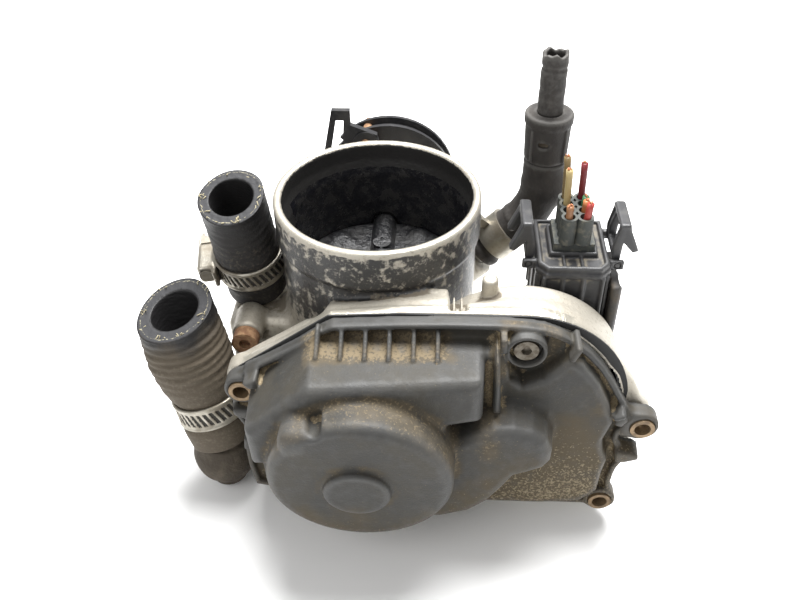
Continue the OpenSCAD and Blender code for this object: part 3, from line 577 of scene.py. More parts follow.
def gear_cover(m):
    f = Field((-48.5, -81.5, 4.5), (94.5, -41.5, 92.5), 0.62)
    deep = -34.0
    rim_2d = outline(COVER_OUTLINE, f.x, f.z)

    d = f.slab_y(rim_2d, -47.8, deep, 0.7)
    d = cut(d, f.slab_y(rim_2d + 1.7, -60, -45.2, 0.5), 0.4)
    # plateau, with a sloping wall up from the screw's recess
    plateau = f.prism_y(
        [(-37.5, 22), (-38.5, 61), (-12, 82), (40, 83), (43, 74), (47, 69.5), (53.3, 72.4), (57.3, 76.8),
         (60.5, 81), (64.4, 78.3), (70, 70.5), (74, 62), (76.4, 54.4), (74.3, 46), (75, 41), (77, 36),
         (76.2, 30), (75.8, 20), (71, 14.4), (57.5, 12.5), (43.5, 12.5), (10, 13), (-20, 12.5)],
        -51.8, deep, 1.5, 0.12, 2.2)
    d = join(d, plateau, 1.4)
    # nose beside the dome
    nose = f.prism_y(
        [(-6, 28), (10, 60), (28.3, 58), (38, 63.2), (44.5, 63.4), (50.6, 61.9), (55, 58.9), (57.4, 53.4),
         (57.3, 48.5), (55.2, 45), (50.7, 42.6), (46.4, 40.6), (43.1, 34.4), (38.6, 27.2), (32.7, 21.6),
         (22.8, 17.9), (10, 18)], -64, deep, 3.0, 0.1, 2.1)
    d = join(d, nose, 2.2)
    # box, its front leaning back to the right
    box = f.prism_y([(-35, 50), (-35.5, 63.5), (-16, 80.8), (32.6, 81.2), (32.9, 67.6), (24, 66),
                     (10, 50)], -80, deep, 1.2, 0.06, 3.4)
    box = meet(box, -68.4 + np.clip((f.x + 17) * 0.085, 0, 5) - f.y + 0 * box, 3.4)
    d = join(d, box, 1.6)
    # pillar beside the box, down to the nose
    d = join(d, f.prism_y([(37, 63), (36.6, 84), (38.4, 89), (40.2, 84), (41, 72), (41.6, 63)],
                          -58.5, deep, 1.8, 0.05), 1.8)
    # motor dome with a leaning face
    face = -73.1 - (f.z - 22) * 4.5 / 54
    dome = f.disc_y((-2, 49.2), 29.4, -90, deep, 0.5, 0.02)
    dome = meet(dome, face - f.y + 0 * dome, 3.4)
    # its round bump at the upper left, and the notch beside it
    bump = meet(f.rod((-21.5, -90, 68.3), (-19.3, -40, 70.5), 4.2, 1), face + 0.7 - f.y + 0 * dome, 2.6)
    dome = join(dome, bump, 2.4)
    dome = cut(dome, f.rod((-14.2, -84, 76.2), (-14.2, -66, 73.2), 2.3, 1), 1.6)
    d = join(d, dome, 1.3)
    # raised disc in the middle of the dome
    disc = f.disc_y((-2.6, 47.6), 10.7, -84, -70, 0.4, 0.05)
    d = join(d, meet(disc, face - 2.3 - f.y + 0 * disc, 1.2), 0.9)
    # gussets from the lip to the top of the box
    for i in range(6):
        x = -15.1 + 7.2 * i
        rib = f.box((x - 0.65, -56, 81), (x + 0.65, -45, 88.6), 0.3)
        d = join(d, meet(rib, (f.z - 88.4 - 0.55 * (f.y + 47.8)) * 0.87, 0.3), 0.6)
    # boss and pocket of the upper screw, in a recess of its own
    recess = f.prism_y([(42.2, 72), (42, 87.2), (60, 86.5), (60.2, 84), (52.4, 73.4), (47.6, 70.4)],
                       -70, -48.9, 1.0, -0.15, -1.0)
    d = cut(d, recess, 1.2)
    d = join(d, meet(f.disc_y(SCREW, 7.0, -51.2, deep, 1.0, 0.05), rim_2d + 1.0, 0.6), 1.2)
    d = cut(d, f.rod((SCREW[0], -47.3, SCREW[1]), (SCREW[0], -70, SCREW[1]), 5.0, 0.4), 0.8)
    # ribs that stand between the plateau and the rim
    for a, b, w in (((60.6, 81.4), (62.6, 86.5), 0.9), ((40.4, 84), (40.2, 89.5), 1.0),
                    ((76.5, 56.5), (80, 58), 0.8)):
        a, b = np.array(a), np.array(b)
        side = np.array([a[1] - b[1], b[0] - a[0]]) / np.linalg.norm(b - a) * w
        d = join(d, f.prism_y([a + side, b + side, b - side, a - side], -52.4, deep, 0.5), 0.9)
    # low screws' wells, with their bosses
    for c in LOW_SCREWS:
        d = join(d, f.disc_y(c, 6.4, -49, deep, 0.8), 0.8)
        d = cut(d, f.disc_y(c, 4.9, -82, -47.2, 0.4), 0.5)
    # ears with their bushes' seats, the wedge above the left one and the tabs
    for c, r in (((-41.3, 61.6), 5.7), ((86.6, 49.4), 5.7), ((78.7, 11.1), 5.2)):
        d = join(d, f.disc_y(c, r, -48.6, deep, 0.8), 1.2)
    for points, front, grow in (
            ([(80, 57), (86, 55.5), (91, 51), (90.5, 46), (86, 43.6), (80, 44)], -48.4, 0),
            ([(-37.5, 66), (-40.8, 69.2), (-34.4, 72.8), (-33.4, 67)], -53.6, 0),
            ([(-45.6, 55), (-45.6, 51.2), (-38.6, 47.8), (-37, 55)], -50.6, 0),
            ([(-44, 40), (-44.8, 33), (-39.5, 34), (-39.5, 41)], -50, 0),
            ([(79.4, 39.6), (86.6, 38.6), (88.4, 37), (88.6, 34.6), (83, 32.6), (79.5, 33)], -50.4, 0),
            ([(77, 58.6), (79.6, 60.2), (82.4, 54.6), (80, 50.4), (76.4, 52)], -51, 0)):
        d = join(d, f.prism_y(points, front, deep, 0.9, 0.05, grow), 0.9)
    # the hollow behind, a wall's thickness inside everything, then the back's plane
    d = cut(d, d + 2.35, 0)
    d = cut(d, f.disc_y(SHAFT, 9.95, -51.8, -48, 0), 0)  # room for the sweep of the sensor's wiper
    for c in (LEFT_EAR, RIGHT_EAR, LOW_EAR):
        d = cut(d, f.disc_y(c, 3.95, -60, deep, 0), 0.3)
    for c in (SCREW, *LOW_SCREWS):
        d = cut(d, f.disc_y(c, 2.35, -60, deep, 0), 0)
    d = meet(d, f.y - COVER_BACK + 0 * rim_2d, 0.2)

    def paint(v):
        x, y, z = v.T
        low = np.clip((62 - z) / 45, 0, 1) * 0.75 + np.clip((x - 25) / 35, 0, 1) * 0.35
        # dust gathers between the gussets, round the foot of the dome and the disc, and beside the nose
        film = (np.exp(-((z - 83) / 4) ** 2) * np.clip((y + 60) / 7, 0, 1)
                * np.clip((28 - np.abs(x - 2)) / 9, 0, 1))
        away = np.hypot(x + 2, z - 49.2)
        film = np.maximum(film, np.exp(-((away - 29.5) / 3.0) ** 2) * 0.62 * (z > 40))
        film = np.maximum(film, np.exp(-((np.hypot(x + 2.6, z - 47.6) - 11.6) / 2.6) ** 2) * 0.46)
        film = np.maximum(film, np.exp(-((x - 37) / 7) ** 2 - ((z - 57) / 14) ** 2) * 0.62)
        film = np.maximum(film, np.exp(-((np.hypot(x - SCREW[0], z - SCREW[1]) - 9) / 3) ** 2) * 0.7)
        film = np.maximum(film, np.exp(-((x - 72) / 7) ** 2 - ((z - 62) / 16) ** 2) * 0.5)
        hidden = y > -44
        return {"low": np.clip(np.where(hidden, 0, low), 0, 1), "film": np.where(hidden, 0, film)}

    return f.mesh("gear_cover_shell", d, "housing", ["gear_cover"], m["cover"], paint)


# ---- housing

CASE_OUTLINE = [
    (-43, 13), (-43.4, 66.2), (-38.5, 69.8), (-29.9, 75.4), (-21.5, 81.1), (-12.5, 88.4), (9, 90.8),
    (24.3, 91), (47, 91), (53, 90.3), (58.8, 88.6), (64, 85.6), (69.5, 80.6), (74.4, 74.6), (78.6, 68),
    (81.4, 60.8), (81.5, 30), (81.5, 8), (-20, 8)]
HOLES = ((-31, -31), (-31, 31), (31, -31), (31, 31))


def housing(m):
    f = Field((-54.5, -43.2, -1.2), (94.5, 67.5, 107.4), 0.8)
    radius = np.sqrt(f.x ** 2 + f.y ** 2)

    d = f.slab_z(radius - 32.9, 0, 92, 0.6)
    d = join(d, f.slab_z(radius - 34.1, 91.6, 106, 0.7), 0.8)
    d = join(d, f.box((-38, -38, 0), (38, 38, 10), 0.9), 2.5)
    for c in HOLES:
        d = join(d, f.rod((*c, 0), (*c, 10), 7, 0.9), 0.8)
    # gear case: the machined flange, and the casting behind it
    case = outline(CASE_OUTLINE, f.x, f.z)
    flange = f.slab_y(case, CASE_FACE, -38.6, 0.4)
    body = f.slab_y(case + 1.3, CASE_FACE, -34.5, 2.0)
    top = f.prism_y([(-14, 60), (-13, 86), (8, 89.8), (24, 90.2), (24, 60)], -42, -28.5, 2.2)
    lobe = f.disc_y(LOBE, 34.2, CASE_FACE, -26, 2.2)
    low = f.prism_y([(30, 9), (30, 70), (70, 70), (79, 45), (79, 9)], -42, -26, 2.5)
    side = f.prism_y([(-42, 14), (-42, 64.8), (-20.6, 79.6), (-14, 79), (-14, 14)], -42, -32.5, 2.5)
    for part, r in ((body, 1.2), (top, 3.0), (lobe, 3.0), (low, 3.0), (side, 3.0)):
        d = join(d, part, r)
    d = join(d, flange, 0.5)
    # upright lines in the recess of the case's top, and the post in it
    d = cut(d, f.box((24.4, -40.5, 86.5), (29.2, -27, 95), 0.8), 1.2)
    for x in (25.6, 27.8):
        d = join(d, f.box((x - 0.4, -40.5, 80), (x + 0.4, -33.5, 90.2), 0.3), 0.5)
    d = join(d, f.rod((36.5, -30.5, 60), (36.5, -30.5, 95.5), 2.6, 0.7), 1.2)
    # lug behind the right ear, with its round side
    lug = f.prism_y([(74, 72), (79.9, 67.7), (83.6, 62.5), (86.6, 56.2), (90.5, 51), (92.2, 46),
                     (90.4, 40), (87, 36.6), (78, 34)], CASE_FACE, -36.5, 1.6)
    d = join(d, lug, 1.5)
    d = join(d, f.disc_y(LEFT_EAR, 5.9, CASE_FACE, -36, 0.8), 1.2)
    # coolant block and the boss of the elbow
    block = f.box((-53, -15, 40), (-28, 12, 61), 3.2)
    d = join(d, block, 4.0)
    d = join(d, f.rod((-45, -20.5, 59.8), (-45, -8, 59.8), 5.2, 0.8), 1.4)
    d = join(d, f.rod((-49, -1, 59), (-45.0, 3.1, 62.4), 8.2, 0.8), 1.5)
    exit_dir = np.array([11.1, 15.8, 0]) / np.linalg.norm([11.1, 15.8, 0])
    d = join(d, f.rod(ELBOW_EXIT, ELBOW_EXIT + 22 * exit_dir, 9.2, 0.7), 3.0)
    d = join(d, f.prism_y([(-42, 10), (-44, 30), (-44, 44), (-26, 46), (-26, 10)], -20, -8, 2.0), 4.0)
    # rear boss of the shaft, the stop lug and the breather's boss
    d = join(d, f.disc_y(SHAFT, 13, 20, 51, 1.0), 3.0)
    for angle in (35, 145, 270):
        c = (12.5 * math.cos(math.radians(angle)), SHAFT[1] + 12.5 * math.sin(math.radians(angle)))
        d = join(d, f.disc_y(c, 3.6, 30, 50.4, 0.7), 1.5)
    d = join(d, f.prism_y([(-7, 69), (-26, 56), (-26, 48), (-3, 61)], 38, 50, 1.2), 1.5)
    d = join(d, f.prism_y([(-24, 50), (-24, 57), (-14, 57), (-14, 50)], 44, 66, 1.0), 1.2)
    foot, n = np.array([30, PIPE_Y, 64.5]), np.array([SLANT, 0, SLANT])
    d = join(d, f.rod(foot - 5 * n, foot + 6 * n, 8.5, 0.9), 2.5)
    # ribs between the barrel and the manifold flange
    for x, y in ((1, 1), (-1, 1), (1, -1), (-1, -1)):
        a = math.atan2(y, x)
        away = np.abs(-f.x * math.sin(a) + f.y * math.cos(a)) - 2
        along = f.x * math.cos(a) + f.y * math.sin(a)
        web = np.maximum(np.maximum(25 - along, along + f.z * 0.55 - 45), 1 - f.z)
        rib = meet(away + 0 * f.z, web, 0.8)
        d = join(d, rib, 2.0)
    d = meet(d, 0 * radius - f.z, 0.3)
    # the bore, with sooty lumps that have run down its wall
    angle = np.arctan2(f.y, f.x)
    lump = 0.22 * np.sin(9 * angle + 0.35 * f.z) * np.sin(5 * angle - 0.21 * f.z + 1.3)
    lump = lump * np.clip((96 - f.z) / 20, 0, 1) * (f.z > 73)
    wall = 30.0 + 1.3 * np.clip((f.z - 94) / 6, 0, 1)
    d = cut(d, (radius - wall - lump) * 0.98, 0.9)
    # gear room, leads' chamber, bearings, bolts and passages
    d = cut(d, f.slab_y(case + 3.6, -60, -37.5), 0)
    d = cut(d, meet(f.disc_y(LOBE, 30.5, -60, -29, 0.5), f.box((39, -60, 24), (89, -20, 94), 0), 0), 0)
    d = cut(d, f.box((57.2, -30, 56), (69.2, -20, 68), 0), 0)
    d = cut(d, f.disc_y(SHAFT, 7.05, -60, -30.6, 0), 0)
    d = cut(d, f.disc_y(SHAFT, 7.05, 30.6, 60, 0), 0)
    d = cut(d, f.disc_y(SHAFT, 5.0, -60, 60, 0), 0)
    d = cut(d, f.disc_y(INTERMEDIATE, 2.55, -60, -34, 0), 0)
    for c in HOLES:
        d = cut(d, f.rod((*c, -3), (*c, 14), 3.5, 0), 0.4)
    for c in (SCREW, *LOW_SCREWS):
        d = cut(d, f.disc_y(c, 1.85, -60, -33, 0), 0)
    for c in (LEFT_EAR, RIGHT_EAR):
        d = cut(d, f.disc_y(c, 2.5, -60, -30, 0), 0.3)
    hose_dir = np.array([-2.5, -8.1, 42]) / np.linalg.norm([2.5, 8.1, 42])
    d = cut(d, f.rod(REAR_HOSE[0] - 9 * hose_dir, REAR_HOSE[0] + (0, 0, 2), 7.05, 0), 0.3)
    d = cut(d, f.rod(ELBOW, ELBOW_EXIT + 9.5 * exit_dir, 7.05, 0), 0.3)
    d = cut(d, f.disc_y(BOLT, 3.05, -30, -9, 0), 0.3)
    d = cut(d, f.rod(foot - 8 * n, foot + 16 * n, 4.65, 0), 0.3)
    d = cut(d, f.rod((-19, 61, 40), (-19, 61, 70), 2.55, 0), 0.3)

    def paint(v):
        x, y, z = v.T
        r = np.hypot(x, y)
        inner = r < 32.4
        soot = np.where(inner & (z > 50), 1.0, 0.0)
        outer = (r > 32.4) & (r < 35) & (z > 40)
        film = 0.60 - 0.12 * np.clip((z - 98) / 6, 0, 1) - 0.5 * np.clip((78 - z) / 22, 0, 1)
        soot = np.where(outer & (z < 104.6), film, soot)
        soot = np.where((z > 105.2) & (r < 35), 0.16, soot)
        wet = np.where(inner & (y > 5) & (z > 70) & (z < 97), 0.55, 0.0)
        edge_2d = polygon_distance(CASE_OUTLINE, x, z)
        bright = ((np.abs(edge_2d) < 0.35) & (y < -38.4) & (y > -42.2)) * 0.75
        bright = np.where((z > 105.3) & (r > 31) & (r < 35), 0.62, bright)
        grime = np.clip((75 - z) / 60, 0, 1) * 0.5 + np.where(x < -25, 0.25, 0)
        return {"soot": soot, "wet": wet, "bright": bright, "grime": grime,
                "fleck": outer * (z > 62) * 0.5}

    return f.mesh("cast_housing", d, "housing", ["throttle_housing"], m["cast"], paint)


def polygon_distance(points, a, b):
    return outline(points, np.asarray(a, np.float32), np.asarray(b, np.float32))


# ---- hoses, clamps and elbow

FRONT_HOSE = (np.array([-55.6, -34, 24.6]), np.array([-66.2, -26, 75.5]))
REAR_HOSE = (np.array([-44.8, 3.5, 64]), np.array([-47.3, -4.6, 106]))
FRONT_PROFILE = ((0, 6, 9.5, 20.5, 26, 35, 43, 52.6), (11.3, 11.9, 11.4, 11.4, 13.2, 13.6, 13.3, 13.1))
REAR_PROFILE = ((0, 50), (11.0, 11.0))
GRIP = 24.0                       # length of pipe inside each hose
FRONT_CLAMP_AT, REAR_CLAMP_AT = 10.5, 9


def aimed(ends, at=0.0, turn=0.0):
    """The place of a part that stands on a hose's lower end, at a height and turned about the hose."""
    d = ends[1] - ends[0]
    tilt, swing = math.acos(d[2] / np.linalg.norm(d)), math.atan2(d[1], d[0])
    place = Matrix.Translation(ends[0]) @ Matrix.Rotation(swing, 4, "Z") @ Matrix.Rotation(tilt, 4, "Y")
    return np.array(place @ Matrix.Translation((0, 0, at)) @ Matrix.Rotation(math.radians(turn), 4, "Z"))


def hose_axes(ends):
    n = (ends[1] - ends[0]) / np.linalg.norm(ends[1] - ends[0])
    front = np.array([0.0, -1, 0]) - n * n[1] * -1
    front /= np.linalg.norm(front)
    return n, front, np.cross(n, front)


def hose(m, name, node, ends, profile, inner, grip_inner, clamp_at, tilt_deg, bulge, wrinkles, material,
         seed):
    """A cut hose: wrinkled wall, end sliced at a slant, and its braid showing as a ring of threads."""
    rng = np.random.RandomState(seed)
    n, front, side = hose_axes(ends)
    length, lean = np.linalg.norm(ends[1] - ends[0]), math.tan(math.radians(tilt_deg))
    turns = 120
    r = profile[1][-1]
    phi = np.linspace(0, 2 * math.pi, turns, endpoint=False)
    wobble = sum(a * np.sin(k * phi + q)
                 for k, a, q in zip((2, 3, 5), (0.22, 0.14, 0.07), rng.rand(3) * 6))

    def end_height(radius):
        return length - lean * radius * np.cos(phi)

    rows, marks = [], []

    def row(radius, height, face=0.0, braid=0.0):
        rows.append(ends[0] + height[:, None] * n + radius[:, None] * (np.cos(phi)[:, None] * front
                                                                       + np.sin(phi)[:, None] * side))
        marks.append((face, braid))

    steps = int(length / 0.55)
    for i in range(steps + 1):
        z = i / steps * (end_height(r + 0 * phi) - 0.5)
        near = z - clamp_at
        swell = 0.4 * np.exp(-((near + 2.2) / 1.5) ** 2) + 0.5 * np.exp(-((near - 11.4) / 1.8) ** 2)
        window = np.clip((z - length + 28) / 10, 0, 1) * np.clip((length - 2 - z) / 6, 0, 1)
        folds = np.sin(2 * math.pi * (z + 0.9 * np.sin(2 * phi + 0.6)) / 2.9 + 0.7 * np.sin(0.31 * z)) \
            * (0.5 + 0.5 * np.cos(phi - 0.5)) + 0.5 * np.sin(2 * math.pi * (z - 1.4 * np.sin(phi)) / 5.1)
        free = np.clip((z - clamp_at - 9) / 5, 0, 1) + np.clip((clamp_at - z) / 3, 0, 1)
        lump = bulge * np.exp(-((z - 36) / 9) ** 2) * np.clip(-np.sin(phi), 0, 1)
        row(np.interp(z, *profile) - 0.06 + swell + lump + free * wobble + wrinkles * window * folds, z)
    for share, drop, braid in ((0.0, 0.1, 0), (0.06, 0, 0), (0.18, 0.03, 0.5), (0.27, -0.1, 1.0),
                               (0.36, 0.05, 0.5), (0.55, 0.02, 0), (0.75, 0.02, 0), (0.94, 0, 0),
                               (1.0, 0.25, 0)):
        radius = (r + wobble) * (1 - share) + inner * share
        rough = 0.10 * np.sin(phi * 17 + share * 9) + 0.08 * rng.randn(turns)
        row(radius, end_height(radius) - drop + rough * (0.2 < share < 0.9), 1.0, braid)
    for i in range(60):
        z = (1 - i / 59) * (end_height(inner + 0 * phi) - 0.8)
        row(np.where(z < GRIP, grip_inner, inner) + 0.05 * np.sin(3 * phi + z * 0.2), z)
    verts = np.concatenate(rows)
    count = len(rows)
    i, j = np.meshgrid(np.arange(count), np.arange(turns), indexing="ij")
    a, b = i * turns + j, i * turns + (j + 1) % turns
    c, e = ((i + 1) % count) * turns + (j + 1) % turns, ((i + 1) % count) * turns + j
    faces = np.stack([a, b, c, e], -1).reshape(-1, 4)
    piece = mesh_piece(name, verts, faces, "housing", [node], material)
    marks = np.repeat(np.array(marks), turns, axis=0)
    height = ((verts - ends[0]) @ n)
    away = np.linalg.norm(verts - ends[0] - height[:, None] * n, axis=1)
    outer = away > (np.interp(height, *profile) + inner) / 2
    set_attribute(piece, "face", marks[:, 0] * np.where((away < r - 0.5) & (away > inner + 0.4), 1, 0.3))
    set_attribute(piece, "braid", marks[:, 1])
    dusty = np.clip(1.05 - 0.75 * np.clip((height - length + 16) / 14, 0, 1), 0, 1)
    set_attribute(piece, "dusty", np.where(outer, dusty, 0.0))
    # tufts of the braid that stand out of the cut
    verts, faces = [], []
    for i in range(34):
        # every third one belongs to a tuft: inside the near edge, or at the left
        angle = rng.rand() * 2 * math.pi if i % 3 else rng.choice((0.35, 4.6)) + rng.uniform(-0.12, 0.12)
        radial = math.cos(angle) * front + math.sin(angle) * side
        radius = r - 0.28 * (r - inner) + rng.uniform(-0.5, 0.5)
        at = ends[0] + radius * radial + (length - lean * radius * math.cos(angle) - 0.3) * n
        along = (n * rng.uniform(0.1, 0.9) + radial * rng.uniform(-0.9, 0.9)
                 + np.cross(n, radial) * rng.uniform(-1, 1))
        strand(verts, faces, [at, at + along * rng.uniform(0.5, 1.0),
                              at + along * rng.uniform(1.1, 1.8) + rng.randn(3) * 0.35], 0.17)
    mesh_piece(name + "_threads", verts, faces, "housing", [], m["thread"])


def strand(verts, faces, path, radius, sides=6):
    """Adds a thin round strand along a path, closed at both ends by rings drawn in to a point."""
    path = [np.asarray(p, float) for p in path]
    first = len(verts)
    stations = [(path[0], 0.02)] + [(p, 1.0) for p in path] + [(path[-1], 0.02)]
    for i, (p, scale) in enumerate(stations):
        j = min(max(i - 1, 0), len(path) - 1)
        d = path[min(j + 1, len(path) - 1)] - path[max(j - 1, 0)]
        d = d / max(np.linalg.norm(d), 1e-9)
        u = np.cross(d, [0.3, 0.2, 0.93])
        u /= np.linalg.norm(u)
        w = np.cross(d, u)
        for k in range(sides):
            a = 2 * math.pi * k / sides
            verts.append(p + radius * scale * (math.cos(a) * u + math.sin(a) * w))
    for i in range(len(stations) - 1):
        for k in range(sides):
            a, b = first + i * sides + k, first + i * sides + (k + 1) % sides
            faces.append((a, b, b + sides, a + sides))


def clamp(m, name, node, ends, r, at, turn):
    """Worm clamp: a slotted band with rolled edges and the housing of its screw."""
    f = Field((-r - 2.5, -r - 2.5, -0.8), (r + 9, r + 2.5, 9.8), 0.34)
    radius = f.about_z()
    angle = np.arctan2(f.y, f.x)
    d = f.slab_z(np.abs(radius - r - 0.5) - 0.45, 0.0, 9, 0.3)
    for z in (0.6, 8.4):
        roll = np.sqrt((radius - r - 0.75) ** 2 + (f.z - z) ** 2) - 0.55
        d = join(d, roll, 0.3)
    pitch = 2.1
    count = round(2 * math.pi * r / pitch)
    phase = (angle / (2 * math.pi) * count + 0.16 * (f.z - 4.5)) % 1.0 - 0.5
    slot = meet(np.abs(phase) * pitch - 0.55, np.abs(f.z - 4.5) - 2.5 + 0 * radius, 0.25)
    slot = meet(slot, r + 0.55 - radius, 0)
    d = cut(d, slot, 0.15)
    house = f.box((r + 0.3, -6.3, 0.6), (r + 7.0, 6.3, 8.4), 1.6)
    house = join(house, f.box((r + 0.1, -8.5, 0.8), (r + 1.6, 8.5, 8.2), 0.4), 0.6)
    d = join(d, house, 0.4)
    d = cut(d, f.rod((r + 4, -12, 4.5), (r + 4, 12, 4.5), 2.72, 0), 0.2)
    d = cut(d, radius - r - 0.05, 0)

    def paint(v):
        # mask of the painted shade in the slots
        turned = np.arctan2(v[:, 1], v[:, 0]) / (2 * math.pi) * count + 0.16 * (v[:, 2] - 4.5)
        inside = (np.abs((turned % 1.0) - 0.5) * pitch < 0.6) & (np.abs(v[:, 2] - 4.5) < 2.5)
        return {"slot": (inside & (np.hypot(v[:, 0], v[:, 1]) < r + 1.15)) * 1.0}

    f.mesh(name, d, "housing", [node], m["steel"], paint, place=aimed(ends, at, turn))


def elbow(m):
    f = Field((-76, -50, -1.5), (-34, -4, 51), 0.6)
    c, out = ELBOW, ELBOW_EXIT
    n, _, _ = hose_axes(FRONT_HOSE)
    way = (out - c) / np.linalg.norm(out - c)
    d = f.ball(c, 11.2)
    d = join(d, f.rod(c, out - way * 0.1, 9, 0.6), 2.5)
    d = join(d, f.rod(c, c + 28 * way, 7, 0.4), 0.3)
    d = join(d, f.rod(c, FRONT_HOSE[0] - 0.3 * n, 10.2, 1.2), 2.5)
    d = join(d, f.rod(FRONT_HOSE[0] - 4 * n, FRONT_HOSE[0] + GRIP * n, 8.55, 0.6), 0.2)
    d = join(d, f.rod(c - np.array([0, 0, 12]), c, 6.5, 0.8), 2.0)
    d = cut(d, f.rod(c, FRONT_HOSE[0] + 60 * n, 6, 0), 0.3)
    d = cut(d, f.rod(c, c + 40 * way, 5.5, 0), 0.3)
    d = meet(d, 0.4 - f.z + 0 * d, 0.5)
    f.mesh("elbow_casting", d, "housing", ["coolant_elbow"], m["elbow"])


# ---- breather side


def breather(m):
    f = Field((24, 9, 52), (65.5, 27, 111), 0.5)
    n = np.array([SLANT, 0, SLANT])
    start = np.array([BEND[0] + BEND_R * SLANT, PIPE_Y, BEND[1] - BEND_R * SLANT])

    def run(r, past):
        round_bend = np.sqrt((f.x - BEND[0]) ** 2 + (f.z - BEND[1]) ** 2)
        ring = np.sqrt((round_bend - BEND_R) ** 2 + (f.y - PIPE_Y) ** 2) - r
        side = (f.x - start[0]) * n[0] + (f.z - start[2]) * n[2]
        ring = meet(ring, np.maximum(f.z - BEND[1] - 0.5, -side - 0.5) + 0 * ring, 0)
        straight = f.rod(start - (18 + past) * n, start + n, r, 0.5)
        up = f.rod((PIPE_X, PIPE_Y, 99), (PIPE_X, PIPE_Y, 109 + past), r, 0.5)
        return join(join(ring, straight, 0.8), up, 0.8)

    d = run(7.0, 0)
    d = join(d, f.ball((57.2, 18, 98.5), 7.0), 3.0)
    d = join(d, f.rod(start - 18 * n, start - 15.5 * n, 7.6, 0.8), 1.0)
    d = cut(d, run(4.62, 1), 0.3)
    f.mesh("breather_bend", d, "housing", ["breather_hose"], m["breather"])

    f = Field((46, 8.5, 101), (65, 27.5, 127.5), 0.45)
    away = f.about_z((PIPE_X, PIPE_Y))
    taper = 7.7 - 0.035 * (126 - f.z)
    d = f.slab_z(away - taper, 109.2, 126, 0.9)
    d = join(d, meet(away - 7.95, np.abs(f.z - 124.2) - 1.7 + 0 * away, 0.6), 0.5)
    d = join(d, f.rod((PIPE_X, PIPE_Y, 102), (PIPE_X, PIPE_Y, 110), 4.55, 0.4), 0.3)
    for i in range(4):
        a = math.radians(45 + 90 * i)
        across = np.abs(-(f.x - PIPE_X) * math.sin(a) + (f.y - PIPE_Y) * math.cos(a)) - 0.5
        forward = (f.x - PIPE_X) * math.cos(a) + (f.y - PIPE_Y) * math.sin(a)
        within = np.maximum(away - 8.1, np.abs(f.z - 116) - 6)
        d = join(d, meet(np.maximum(across, -forward), within, 0.3), 0.4)
    d = cut(d, f.rod((53.6, 8, 117.2), (53.6, 13, 117.2), 0.9, 0), 0.3)
    d = cut(d, f.box((52.0, 8, 116.5), (55.4, 12.4, 118.0), 0.6), 0.3)
    d = cut(d, away - 3.86 + 100 * (f.z < 115), 0.3)
    d = cut(d, away - 3.0, 0.3)
    f.mesh("adaptor_moulding", d, "housing", ["hose_adaptor"], m["breather"])

    f = Field((50.5, 13, 114), (60.5, 23, 148), 0.4)
    away = f.about_z((PIPE_X, PIPE_Y))
    a = np.arctan2(f.y - PIPE_Y, f.x - PIPE_X)
    ragged = 146.2 + 0.45 * np.sin(3 * a + 0.7) + 0.3 * np.sin(7 * a)
    outer = np.where(f.z < 126.2, 3.8, 4.2) + 0 * away
    outer = outer - 0.32 * (np.abs(f.z - 141.6) < 0.5) + 0.12 * np.sin(f.z * 0.9 + a)
    d = meet(away - np.minimum(outer, 4.2), np.maximum(115 - f.z, f.z - ragged), 0.35)
    d = cut(d, away - 2.8, 0.3)
    f.mesh("pipe_end", d, "housing", ["breather_pipe"], m["breather"])


# ---- connector and plug

PLUG = (63.2, -9.1)


